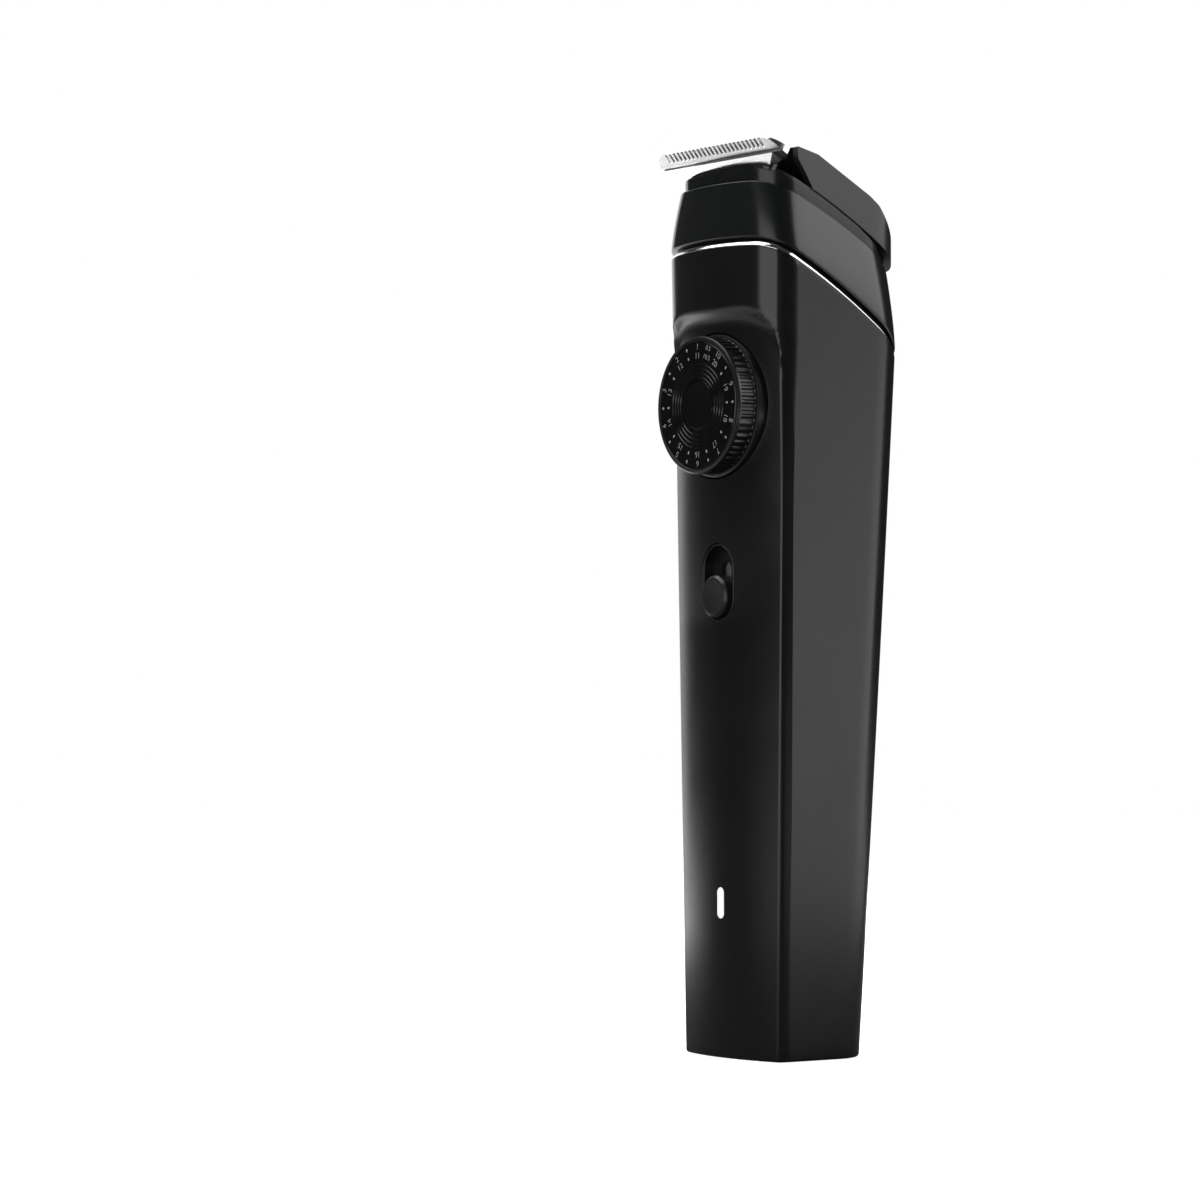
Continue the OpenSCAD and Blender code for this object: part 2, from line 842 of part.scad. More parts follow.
module dial_cap() {
  color("#0b0c0c")
    rod(cap_r, -dial_front, face_t + cap_sink - dial_front, z = dial_z);
}

module pinion_profile() {
  radius = [pitch_r - tooth_down, pitch_r, pitch_r + tooth_up];
  half = [for (r = radius) atan((tooth_half + tooth_slope * (pitch_r - r)) / r)];
  polygon([for (i = [0:pinion_teeth - 1], side = [-1, 1], k = side < 0 ? [0, 1, 2] : [2, 1, 0])
    let(a = i * 360 / pinion_teeth + side * half[k]) radius[k] * [cos(a), sin(a)]]);
}

module dial_shaft() {
  floor_back = well_floor - well_floor_t;
  color("#d9d7cf") {
    rod(shaft_r, face_t + cap_sink - dial_front, -floor_back, z = dial_z);
    rod(shaft_r - clip_groove, -floor_back - 0.1, -pinion_from, z = dial_z);
    rod(shaft_r, -floor_back + clip_t + 0.2, -pinion_from, z = dial_z);
    translate([0, -pinion_to, dial_z])
      rotate([90, 0, 0])
        linear_extrude(pinion_from - pinion_to)
          pinion_profile();
  }
}

module dial_clip() {
  floor_back = well_floor - well_floor_t;
  color("#9a9da0")
    dial_ring(3.4, shaft_r - clip_groove + fit, -floor_back + 0.1, -floor_back + 0.1 + clip_t);
}

module dial_detent_spring() {
  arc_r = hollow_r - 2.6;
  color("#c0b48a") {
    translate([0, -dial_back - 0.4, dial_z])
      rotate([90, 0, 0])
        rotate_extrude(angle = 140)
          translate([arc_r, 0]) square([0.4, 1.2]);
    around_dial(arc_r + 0.2, 0) rod(1.3, -dial_back - 1.6, -well_floor);
    around_dial(arc_r + 0.9, 140) rod(0.8, -dial_back - 1.6, -dial_back - 0.4);
  }
}

module comb_carriage() {
  root_x = pitch_r + tooth_down;
  tooth = [[-tooth_down - 0.1, -1], [tooth_up, -1], [tooth_up, 1], [-tooth_down - 0.1, 1]];
  color("#4a4d50") {
    box(-root_x - rack_body, -root_x, rack_y[0], rack_y[1],
      dial_z - rack_low_teeth * rack_pitch - 0.3, bar_low + bar_h);
    for (k = [-rack_low_teeth:1])
      translate([0, rack_y[1], dial_z + (k + 0.5) * rack_pitch])
        rotate([90, 0, 0])
          linear_extrude(rack_y[1] - rack_y[0])
            polygon([for (p = tooth) [p.x - pitch_r, p.y * (tooth_half - tooth_slope * p.x)]]);
    box(-arm_x - arm_t, arm_x + arm_t, bar_y[0], bar_y[1], bar_low, bar_low + bar_h);
    both_sides()
      difference() {
        box(arm_x, arm_x + arm_t, arm_y[0], arm_y[1], bar_low, arm_top);
        box(arm_x + 0.7, arm_x + arm_t - 0.4, arm_y[0] + 0.6, arm_y[1] - 0.8, arm_top - 6, arm_top + 1);
      }
  }
}

module carriage_guide() {
  back = bar_y[1] + 0.2;
  top = bar_low + bar_h - 1;
  color("#5a5d60") {
    both_sides() box(rail_x, rail_x + rail_w, back, back + rail_t, platform_low + platform_t, top);
    box(-rail_x - rail_w, rail_x + rail_w, back, back + rail_t, top - 2, top);
  }
}

module neck_ring() {
  color("#242627")
    difference() {
      intersection() {
        upright(neck_outline());
        above(collar_z - neck_plug, collar_fall);
      }
      above(neck_z, neck_fall);
      difference() {
        upright(neck_outline(-neck_wall));
        above(neck_z - deck_t, neck_fall);
      }
      head_openings();
    }
}

module blade_carrier() {
  color("#0c0d0d")
    difference() {
      union() {
        intersection() {
          upright(neck_outline(-0.8));
          above(neck_z, neck_fall);
          below(deck_z, neck_fall);
        }
        intersection() {
          head_frame() box(-tongue_x, tongue_x, -12.4, 1, -4, blade_low);
          above(neck_z, neck_fall);
        }
        intersection() {
          head_frame() box(-lip_low, lip_low, -lip_back, -12, -4, -0.1);
          above(neck_z, neck_fall);
        }
      }
      head_openings();
    }
}

module head_openings() {
  both_sides() {
    box(slot_x[0], slot_x[1], slot_y[0], slot_y[1], deck_z - opening_reach, deck_z + opening_reach);
    head_frame() translate([screw_x, screw_y, -3]) cylinder(r = screw_r + running, h = 6);
  }
  box(-fork_hole.x, fork_hole.x, prong_y[0] - fork_hole.y, prong_y[1] + fork_hole.y,
    deck_z - opening_reach, deck_z + opening_reach);
}

module fixed_blade() {
  side = blade_w / 2 - row_half;
  corner = [for (a = [0:15:90]) [row_half + side * sin(a), -corner_y - (blade_tip - corner_y) * cos(a)]];
  half = concat([[0, -blade_tip]], corner, [[blade_w / 2, -corner_y + 0.9],
    [blade_w / 2 - 1.8, -13], [tongue_x + 1.2, -12.4], [tongue_x, -11.2], [tongue_x, 1], [0, 1]]);
  color("#d3d6d9")
    head_frame()
      difference() {
        union() {
          translate([0, 0, blade_low])
            linear_extrude(blade_t)
              polygon(whole(half));
          intersection() {
            along_x(lip_top, [[-15.3, blade_low + 0.1], [-15.3, blade_low], [-13.45, blade_low - lip_h],
              [-13.28, lip_rest], [-lip_back, lip_rest], [-lip_back, blade_low + 0.1]]);
            rotate([90, 0, 0])
              linear_extrude(far)
                polygon([[-lip_low, blade_low - lip_h], [lip_low, blade_low - lip_h],
                  [lip_top, blade_low + 0.1], [-lip_top, blade_low + 0.1]]);
          }
        }
        along_x(far, [[-bevel_y, blade_low - 1], [-bevel_y, blade_low],
          [-blade_tip - 1, blade_low + (blade_tip + 1 - bevel_y) * bevel_rise],
          [-blade_tip - 1, blade_low - 1]]);
        along_x(far, [[-16, blade_low - 0.1], [-16, blade_low + 0.25], [-15.4, blade_low + 0.25],
          [-15.4, blade_low - 0.1]]);
        tooth_slits(tooth_gaps);
        both_sides() translate([screw_x, screw_y, 0]) cylinder(r = screw_r + running, h = 3);
      }
}

module moving_blade() {
  color("#55585b")
    head_frame()
      difference() {
        box(-cutter_half, cutter_half, -cutter_tip, -cutter_back, cutter_low, cutter_low + cutter_t);
        along_x(far, [[-16.8, cutter_low + 2], [-16.8, cutter_low + cutter_t],
          [-cutter_tip - 1, cutter_low + 0.1], [-cutter_tip - 1, cutter_low + 2]]);
        tooth_slits(tooth_gaps - 3);
      }
}

module tooth_slits(count) {
  for (i = [0:count - 1])
    translate([(i - (count - 1) / 2) * tooth_pitch, 0, 0])
      box(-slit_w / 2, slit_w / 2, -far, -blade_root, -1, far);
}

module drive_fork() {
  low = cutter_low + cutter_t;
  color("#e3e1d9") {
    head_frame() box(-fork_x, fork_x, -14.5, 9.9, low, low + fork_t);
    both_sides() box(prong_gap, prong_gap + prong_t, prong_y[0], prong_y[1], prong_low, deck_z - 1);
  }
}

module blade_spring() {
  finger = [screw_x - 1.3, 1.6];
  low = blade_low + blade_t;
  rest = cutter_low + cutter_t + running;
  color("#b8bbbe")
    head_frame()
      difference() {
        union() {
          box(-tongue_x + 0.2, tongue_x - 0.2, -6.8, -1, low, low + spring_t);
          both_sides() translate([finger[0], 0, 0])
            rotate([90, 0, 90])
              linear_extrude(finger[1])
                polygon([[-6.6, low], [-6.6, low + spring_t], [-10.7, rest + spring_t],
                  [-13.5, rest + spring_t], [-13.5, rest], [-10.9, rest]]);
        }
        both_sides() translate([screw_x, screw_y, 0]) cylinder(r = screw_r + running, h = 4);
      }
}

module blade_screws() {
  low = blade_low + blade_t + spring_t;
  color("#8d9094")
    both_sides() head_frame() translate([screw_x, screw_y, 0]) {
      translate([0, 0, low]) cylinder(r = screw_head_r, h = screw_head_t);
      translate([0, 0, -screw_depth]) cylinder(r = screw_r, h = low + screw_depth);
    }
}

// Side view of the hood, in the head's slanted frame: y' backwards, z' up from the gap
function hood_side(t) = [
  [-4, 0], [-6.2, 1.3], [-9.3, 2.85], [-10.5, hood_h - 1.6], [-10.4, hood_h - 1.25],
  [-5.8, hood_h - t], [8, hood_h - t], [10.7 - t / 2, hood_h - 0.35 - t],
  [14.6 - t, hood_h - 1.9 - t], [19.3 - t, 2.2 - t / 2], [21.9 - t, 0]];

module head_hood() {
  color("#2b2d2e")
    difference() {
      intersection() {
        upright(hood_outline(0));
        head_frame() along_x(far, concat([[-4, -6]], hood_side(0), [[24, -6]]));
        above(deck_z, neck_fall);
      }
      intersection() {
        upright(hood_outline(hood_wall));
        head_frame() along_x(far, concat([[-12, -6], [-12, hood_h - hood_wall]],
          [for (i = [6:10]) hood_side(hood_wall)[i]], [[24 - hood_wall, -6]]));
      }
    }
}

body_shell();
bottom_cap();
trim_ring();
head_collar();
chassis();
chassis_screws();
circuit_board();
board_screws();
control_chips();
usb_socket();
usb_tongue();
led_chip();
led_light_pipe();
battery_cell();
battery_contacts();
motor_can();
motor_end_cap();
motor_bracket();
motor_screws();
switch_body();
switch_bezel();
dial_detent_spring();
carriage_guide();
motor_shaft();
eccentric_cam();
dial_knob();
dial_face();
dial_cap();
dial_shaft();
dial_clip();
comb_carriage();
power_button();
button_slider();
neck_ring();
blade_carrier();
fixed_blade();
blade_spring();
blade_screws();
head_hood();
moving_blade();
drive_fork();
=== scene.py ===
import json
import math
import bpy
import bmesh
from mathutils import Matrix, Vector


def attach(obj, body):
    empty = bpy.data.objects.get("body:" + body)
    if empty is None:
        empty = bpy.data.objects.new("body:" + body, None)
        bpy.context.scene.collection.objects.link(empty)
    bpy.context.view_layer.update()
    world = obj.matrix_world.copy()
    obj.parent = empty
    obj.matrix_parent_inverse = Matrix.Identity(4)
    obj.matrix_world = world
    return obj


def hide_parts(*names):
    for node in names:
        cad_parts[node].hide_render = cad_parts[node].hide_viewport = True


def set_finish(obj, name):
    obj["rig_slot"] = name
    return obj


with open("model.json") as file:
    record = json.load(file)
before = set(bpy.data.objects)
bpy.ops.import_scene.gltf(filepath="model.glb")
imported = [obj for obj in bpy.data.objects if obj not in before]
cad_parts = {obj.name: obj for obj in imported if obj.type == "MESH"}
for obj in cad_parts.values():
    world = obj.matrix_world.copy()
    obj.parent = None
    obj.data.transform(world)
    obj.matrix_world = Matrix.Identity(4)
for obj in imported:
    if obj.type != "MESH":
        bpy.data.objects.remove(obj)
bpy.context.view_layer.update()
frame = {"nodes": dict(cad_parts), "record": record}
print("frame loaded:", len(frame["nodes"]), "nodes")

mm = 0.001  # shapes are worked out in millimetres and brought to metres once, when a piece is finished
clear = 30  # further from the axis than any face of the body, for the shapes that cut it


# ---- small helpers

def mix(a, b, t):
    return a + (b - a) * t


def smoothStep(t):
    t = min(max(t, 0), 1)
    return t * t * (3 - 2 * t)


def softMin(a, b, reach):
    overlap = max(reach - abs(a - b), 0) / reach
    return min(a, b) - overlap * overlap * reach / 4


def ringLoft(rows, closed=False):
    # a grid whose rows are laid on the rings; closed joins the last ring to the first
    columns = len(rows[0])
    steps = len(rows) if closed else len(rows) - 1
    skin = bmesh.new()
    bmesh.ops.create_grid(skin, x_segments=columns, y_segments=steps, size=0.5)
    for v in skin.verts:
        across = round((v.co.x + 0.5) * columns) % columns
        up = round((v.co.y + 0.5) * steps) % len(rows)
        v.co = rows[up][across]
    bmesh.ops.remove_doubles(skin, verts=skin.verts, dist=1e-4)
    bmesh.ops.recalc_face_normals(skin, faces=skin.faces)
    return skin


def closeEnds(skin):
    bmesh.ops.holes_fill(skin, edges=[e for e in skin.edges if e.is_boundary], sides=0)
    bmesh.ops.recalc_face_normals(skin, faces=skin.faces)
    return skin


def toObject(skin, name, turn=None):
    # millimetres to metres, and into the head's slanted frame where a turn is given
    if turn is not None:
        skin.transform(turn)
    skin.transform(Matrix.Scale(mm, 4))
    mesh = bpy.data.meshes.new(name)
    skin.to_mesh(mesh)
    skin.free()
    piece = bpy.data.objects.new(name, mesh)
    bpy.context.scene.collection.objects.link(piece)
    return piece


def applyModifiers(piece):
    graph = bpy.context.evaluated_depsgraph_get()
    done = bpy.data.meshes.new_from_object(piece.evaluated_get(graph))
    piece.modifiers.clear()
    piece.data = done
    return piece


def combine(piece, skin, operation):
    tool = toObject(skin, "tool")
    cut = piece.modifiers.new("cut", "BOOLEAN")
    cut.operation = operation
    cut.solver = "EXACT"
    cut.object = tool
    applyModifiers(piece)
    bpy.data.objects.remove(tool)
    return piece


def smoothUnder(piece, degrees=35):
    for face in piece.data.polygons:
        face.use_smooth = True
    piece.data.set_sharp_from_angle(angle=math.radians(degrees))
    return piece


def softEdges(piece, width, degrees=30, segments=2):
    bevel = piece.modifiers.new("softEdges", "BEVEL")
    bevel.width = width * mm
    bevel.segments = segments
    bevel.limit_method = "ANGLE"
    bevel.angle_limit = math.radians(degrees)
    bevel.harden_normals = True
    bevel.use_clamp_overlap = True
    return piece


def weigh(piece):
    weighted = piece.modifiers.new("weighted", "WEIGHTED_NORMAL")
    weighted.keep_sharp = True
    return piece


def rod(radius, depth, segments=24):
    # upright and centred on the origin
    skin = bmesh.new()
    bmesh.ops.create_cone(skin, cap_ends=True, segments=segments,
                          radius1=radius, radius2=radius, depth=depth)
    return skin


def rodAlongY(radius, front, back, z=0, segments=96):
    skin = rod(radius, back - front, segments)
    skin.transform(Matrix.Translation((0, (front + back) / 2, z)) @ Matrix.Rotation(math.pi / 2, 4, "X"))
    return skin


def slotAlongY(width, length, front, back, z, segments=48):
    # a round disc whose upper and lower halves are drawn apart
    slot = rodAlongY(width / 2, front, back, segments=segments)
    for v in slot.verts:
        v.co.z += math.copysign((length - width) / 2, v.co.z + 1e-6) + z
    return slot


def block(x0, x1, y0, y1, z0, z1):
    cube = bmesh.new()
    bmesh.ops.create_cube(cube, size=1)
    bmesh.ops.scale(cube, verts=cube.verts, vec=(x1 - x0, y1 - y0, z1 - z0))
    bmesh.ops.translate(cube, verts=cube.verts, vec=((x0 + x1) / 2, (y0 + y1) / 2, (z0 + z1) / 2))
    return cube


def prismAlongX(outline, half):
    # outline is a side view given as (y, z)
    prism = bmesh.new()
    corners = [prism.verts.new((-half, y, z)) for y, z in outline]
    face = prism.faces.new(corners)
    grown = bmesh.ops.extrude_face_region(prism, geom=[face])
    moved = [g for g in grown["geom"] if isinstance(g, bmesh.types.BMVert)]
    bmesh.ops.translate(prism, verts=moved, vec=(2 * half, 0, 0))
    bmesh.ops.recalc_face_normals(prism, faces=prism.faces)
    return prism


def join(skins):
    whole = bmesh.new()
    for skin in skins:
        part = bpy.data.meshes.new("part")
        skin.to_mesh(part)
        skin.free()
        whole.from_mesh(part)
        bpy.data.meshes.remove(part)
    return whole


# ---- the tube's section, shared by the tube, the trim ring and the collar

tube = dict(
    width=29.6, front=14.5, back=11.75, height=140.8, wall=1.8,
    sideFlare=0.0187, frontFlare=0.0113, backFlare=0.0605, backCurl=0.00004,
    frontBow=80, backBow=60, panelBow=48, panelStep=1.0,
    backCorner=9, lowCorner=5, highCorner=6.5, openFrom=40.8, openTo=5.8,
    archBelow=3.5, archRadius=6, archDrop=9, creaseReach=0.6, creaseSoft=0.22,
    footEdge=0.6, topEdge=0.3, seamFall=0.596, crownRadius=125,
)
steps = dict(front=12, crease=6, corner=9, side=6, back=14, rear=8)  # columns along half a section
halfCount = sum(steps.values())
ringCount = 2 * halfCount


def halfWidth(z):
    return tube["width"] / 2 + tube["sideFlare"] * z


def fullFront(z):
    return tube["front"] + tube["frontFlare"] * z


def fullBack(z):
    return tube["back"] + tube["backFlare"] * z - tube["backCurl"] * z * z


def frontCorner(z):
    start = tube["height"] - tube["openFrom"]
    stop = tube["height"] - tube["openTo"]
    return mix(tube["lowCorner"], tube["highCorner"], smoothStep((z - start) / (stop - start)))


def cornerCentre(w, f, r, bow):
    return w - r, f - bow + math.sqrt((bow - r) ** 2 - (w - r) ** 2)


def endReach(x, f, r, bow, centre):
    # how far forward the full form reaches at x: its bowed end, then its corner
    if x < centre[0] * bow / (bow - r):
        return f - bow + math.sqrt(bow * bow - x * x)
    return centre[1] + math.sqrt(max(r * r - (x - centre[0]) ** 2, 0))


def archLift(x, z, creaseX):
    # how far the panel rises towards the full form near its arch
    radius = tube["archRadius"]
    step = tube["panelStep"]
    foot = tube["height"] - tube["archBelow"] - math.sqrt(radius ** 2 - (radius - step) ** 2)
    across = min(max(x / creaseX, 0), 1)
    d = z - foot + tube["archDrop"] * (1 - (1 - across ** 3) ** (1 / 3))
    if d <= 0:
        return 0
    return radius - math.sqrt(radius * radius - d * d) if d < radius else radius


def creaseX(f, r, bow, centre):
    # where the panel's arc crosses the front corner's circle
    low = f - bow
    apart = math.hypot(centre[0], centre[1] - low)
    ux, uy = centre[0] / apart, (centre[1] - low) / apart
    along = (bow * bow - r * r + apart * apart) / (2 * apart)
    return along * ux + math.sqrt(bow * bow - along * along) * uy


def halfPoint(i, w, f, b, rf, rb, frontBow, backBow, panel=None, z=0):
    # point i of the right half of a section, from the middle of the front to the middle of the back
    frontAt = cornerCentre(w, f, rf, frontBow)
    backAt = cornerCentre(w, b, rb, backBow)
    if panel is None:
        edge = frontAt[0] + rf * frontAt[0] / (frontBow - rf)
    else:
        edge = creaseX(panel[0], rf, panel[1], frontAt)
    reach = tube["creaseReach"]
    if i <= steps["front"] + steps["crease"]:
        if i <= steps["front"]:
            x = (edge - reach) * i / steps["front"]
        else:
            x = edge - reach + 2 * reach * (i - steps["front"]) / steps["crease"]
        form = endReach(x, f, rf, frontBow, frontAt)
        if panel is None:
            return x, -form
        flat = panel[0] - panel[1] + math.sqrt(panel[1] ** 2 - x * x) + archLift(x, z, edge)
        return x, -softMin(form, flat, tube["creaseSoft"])
    i -= steps["front"] + steps["crease"]
    if i <= steps["corner"]:
        start = math.asin(min((edge + reach - frontAt[0]) / rf, 1))
        a = mix(start, math.pi / 2, i / steps["corner"])
        return frontAt[0] + rf * math.sin(a), -frontAt[1] - rf * math.cos(a)
    i -= steps["corner"]
    if i <= steps["side"]:
        return w, mix(-frontAt[1], backAt[1], i / steps["side"])
    i -= steps["side"]
    stop = math.asin(backAt[0] / (backBow - rb))
    if i <= steps["back"]:
        a = mix(math.pi / 2, stop, i / steps["back"])
        return backAt[0] + rb * math.sin(a), backAt[1] + rb * math.cos(a)
    i -= steps["back"]
    x = backBow * math.sin(stop) * (1 - i / steps["rear"])
    return x, b - backBow + math.sqrt(backBow * backBow - x * x)


def sectionPoint(k, *shape, **more):
    x, y = halfPoint(k if k <= halfCount else ringCount - k, *shape, **more)
    return (x if k <= halfCount else -x), y


def tubePoint(k, z, inset=0, plain=False):
    # plain spreads the columns for the full form, which is the whole shape above the arch
    panel = None if plain else (fullFront(z) - tube["panelStep"] - inset, tube["panelBow"] - inset)
    x, y = sectionPoint(
        k, halfWidth(z) - inset, fullFront(z) - inset, fullBack(z) - inset, frontCorner(z) - inset,
        tube["backCorner"] - inset, tube["frontBow"] - inset, tube["backBow"] - inset,
        panel=panel, z=z)
    return Vector((x, y, z))


def arcHeight(z, fall, y):
    # height at y of the arc that passes z on the axis with this fall towards the back
    radius, a = tube["crownRadius"], math.atan(fall)
    return z - radius * math.cos(a) + math.sqrt(radius ** 2 - (y + radius * math.sin(a)) ** 2)


def seamPoint(k, up=0, inset=0, plain=False):
    # on the seam's arc, raised by up
    z = tube["height"]
    for settle in range(4):
        z = arcHeight(tube["height"] + up, tube["seamFall"], tubePoint(k, z, inset, plain).y)
    return tubePoint(k, z, inset, plain)


def ring(point):
    return [point(k) for k in range(ringCount)]


def roundOver(radius, count, turnIn=True):
    # (inset, height) pairs of a quarter round, from its lower end to its upper end
    pairs = []
    for i in range(count + 1):
        a = math.pi / 2 * i / count
        pairs.append((radius * (1 - math.cos(a)), radius * math.sin(a)) if turnIn
                     else (radius * (1 - math.sin(a)), radius * (1 - math.cos(a))))
    return pairs


# ---- tube

well = dict(radius=13.5, floor=12.3, wall=1.5, floorWall=1.5, bore=2.05, bossBelow=2.35)
pocket = dict(
    z=87.25, width=9.6, length=14.7, floor=12.4, pad=3, padFront=13.4, padBack=11.4, slot=3.2, travel=5.0,
)
lightSlot = dict(z=28.45, width=2.1, length=5.8)
tubeRings = dict(
    low=(3, 10, 25, 45, 65, 85, 100, 108, 114, 119, 123),  # heights up to the arch
    archFrom=12.5, archStep=0.75, archCount=20,            # close together across the arch
    high=(4, 7, 10),                                       # above the arch
    inside=(0.93, 0.86, 0.78, 0.6, 0.4, 0.2),              # shares of the seam's height
)
dialAxis = 119.8


def makeTube():
    wall, edge, top = tube["wall"], tube["footEdge"], tube["topEdge"]
    crown = seamPoint(0).z
    archTop = tube["height"] - tube["archBelow"]
    heights = list(tubeRings["low"])
    across = [tubeRings["archStep"] * i - tubeRings["archFrom"] for i in range(tubeRings["archCount"])]
    heights += [archTop + up for up in across + list(tubeRings["high"])]
    rows = [ring(lambda k: tubePoint(k, 0, wall))]
    for inset, up in roundOver(edge, 4, turnIn=False):
        rows.append(ring(lambda k: tubePoint(k, up, inset)))
    for z in heights:
        rows.append(ring(lambda k: tubePoint(k, z * seamPoint(k).z / crown)))
    for inset, up in roundOver(top, 3):
        rows.append(ring(lambda k: seamPoint(k, up - top, inset)))
    rows.append(ring(lambda k: seamPoint(k, 0, wall)))
    for share in tubeRings["inside"]:
        rows.append(ring(lambda k: tubePoint(k, share * seamPoint(k).z, wall)))
    piece = toObject(ringLoft(rows, closed=True), "tubeShell")
    bossFront = tubePoint(0, dialAxis).y + well["bossBelow"]
    boss = rodAlongY(well["radius"] + well["wall"], bossFront, well["floorWall"] - well["floor"], dialAxis)
    combine(piece, boss, "UNION")
    wide, long, pad, slot = pocket["width"], pocket["length"], pocket["pad"], pocket["slot"]
    switchPad = slotAlongY(wide + pad, long + pad, -pocket["padFront"], -pocket["padBack"], pocket["z"])
    combine(piece, switchPad, "UNION")
    for opening in (
        rodAlongY(well["radius"], -clear, -well["floor"], dialAxis, 160),
        rodAlongY(well["bore"], -clear, 0, dialAxis, 32),
        slotAlongY(wide, long, -clear, -pocket["floor"], pocket["z"], 96),
        slotAlongY(slot, slot + pocket["travel"], -clear, 0, pocket["z"]),
        slotAlongY(lightSlot["width"], lightSlot["length"], -clear, 0, lightSlot["z"]),
    ):
        combine(piece, opening, "DIFFERENCE")
    smoothUnder(piece, 32)
    weigh(piece)
    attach(piece, "housing")
    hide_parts("body_shell")
    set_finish(piece, "body_black")
    return piece


# ---- trim ring and collar

trim = dict(height=1.0, inset=0.14, thickness=1.36, edge=0.12, lean=0.42)
collar = dict(
    gap=0.5, z=154.2, fall=0.514, lip=0.9, bulge=1.4, edge=0.35,
    skirtLow=6, skirtWall=1.2, skirtFit=0.1, plug=6, fit=0.1,
    tuck=((0.2, 0), (0.06, 0.04)),  # (inset, height) where the foot turns under
    rings=(0.015, 0.04, 0.1, 0.18, 0.27, 0.36, 0.45, 0.54, 0.63, 0.72, 0.8, 0.87, 0.93, 0.97),
)
neck = dict(
    width=30.0, front=14.3, back=17.4, corner=6, wall=1.2, z=156.7, fall=0.53, edge=0.22, deck=1.2, rise=0.8,
    rings=(0.35, 0.7),
)


def makeTrimRing():
    # its face leans inwards a little, so that it catches light from above
    edge, inset = trim["edge"], trim["inset"]
    inner = inset + trim["thickness"]
    lower = roundOver(edge, 3, turnIn=False)
    upper = [(edge + i, trim["height"] - edge + up) for i, up in roundOver(edge, 3)]
    rows = []
    for i, up in lower + upper:
        lean = trim["lean"] * up / trim["height"]
        rows.append(ring(lambda k: seamPoint(k, up, inset + i / 2 + lean)))
    rows.append(ring(lambda k: seamPoint(k, trim["height"], inner)))
    rows.append(ring(lambda k: seamPoint(k, 0, inner)))
    piece = toObject(ringLoft(rows, closed=True), "trimRing")
    smoothUnder(piece, 40)
    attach(piece, "housing")
    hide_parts("trim_ring")
    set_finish(piece, "ring_chrome")
    return piece


def neckPoint(k, grow, z, fall):
    x, y = sectionPoint(
        k, neck["width"] / 2 + grow, neck["front"] + grow, neck["back"] + grow, neck["corner"] + grow,
        tube["backCorner"] + grow, tube["frontBow"], tube["backBow"])
    return Vector((x, y, arcHeight(z, fall, y)))


def makeCollar():
    low = trim["height"] + collar["gap"]
    edge = collar["edge"]
    foot = ring(lambda k: seamPoint(k, low, plain=True))
    crown = ring(lambda k: neckPoint(k, collar["lip"], collar["z"] - edge, collar["fall"]))

    def wallRing(t):
        inward = t ** collar["bulge"]
        return [Vector((mix(a.x, b.x, inward), mix(a.y, b.y, inward), mix(a.z, b.z, t)))
                for a, b in zip(foot, crown)]

    rows = [ring(lambda k: seamPoint(k, low + up, inset, True)) for inset, up in collar["tuck"]]
    rows += [wallRing(t) for t in collar["rings"]]
    for inset, up in roundOver(edge, 4):
        lip, z = collar["lip"] - inset, collar["z"] - edge + up
        rows.append(ring(lambda k: neckPoint(k, lip, z, collar["fall"])))
    for share in (0, 0.5, 1):  # the hole that takes the neck
        rows.append(ring(lambda k: neckPoint(
            k, collar["fit"], collar["z"] - share * collar["plug"], collar["fall"])))
    skirt = tube["wall"] + collar["skirtFit"]
    deep = skirt + collar["skirtWall"]
    skirtLow = -collar["skirtLow"]
    for up, inset in ((skirtLow / 2, deep), (skirtLow, deep), (skirtLow, skirt), (low, skirt)):
        rows.append(ring(lambda k: seamPoint(k, up, inset, True)))
    piece = toObject(ringLoft(rows, closed=True), "headCollar")
    smoothUnder(piece, 40)
    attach(piece, "housing")
    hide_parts("head_collar")
    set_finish(piece, "collar_black")
    return piece


# ---- the blade head, in its own slanted frame

headFall = math.radians(29.25)
deckHeight = neck["z"] + neck["rise"]
headTurn = Matrix.Translation((0, 0, deckHeight)) @ Matrix.Rotation(-headFall, 4, "X")
deckHoles = dict(
    slotX=(9.7, 12.1), slotY=(-9.2, -6.6), forkX=(-6.0, 6.0), forkY=(4.0, 9.0), reach=10,
    screwX=7.2, screwY=-4, screwRadius=1.05, screwDepth=6,
)
hood = dict(
    height=6.1, wall=1.4, width=29, back=18.9, corner=6.5, frontCorner=3, ridge=0.35,
    low=135, high=185, under=6, far=24, half=40, above=200,  # how far its cutting shapes run
)


def screwHole(side):
    # in the head's slanted frame
    hole = rod(deckHoles["screwRadius"], deckHoles["screwDepth"])
    hole.transform(Matrix.Translation((side * deckHoles["screwX"], deckHoles["screwY"], 0)))
    return hole


def headOpenings():
    low, high = deckHeight - deckHoles["reach"], deckHeight + deckHoles["reach"]
    skins = []
    for side in (-1, 1):
        slotX = sorted(side * x for x in deckHoles["slotX"])
        skins.append(block(*slotX, *deckHoles["slotY"], low, high))
        hole = screwHole(side)
        hole.transform(headTurn)
        skins.append(hole)
    skins.append(block(*deckHoles["forkX"], *deckHoles["forkY"], low, high))
    return join(skins)


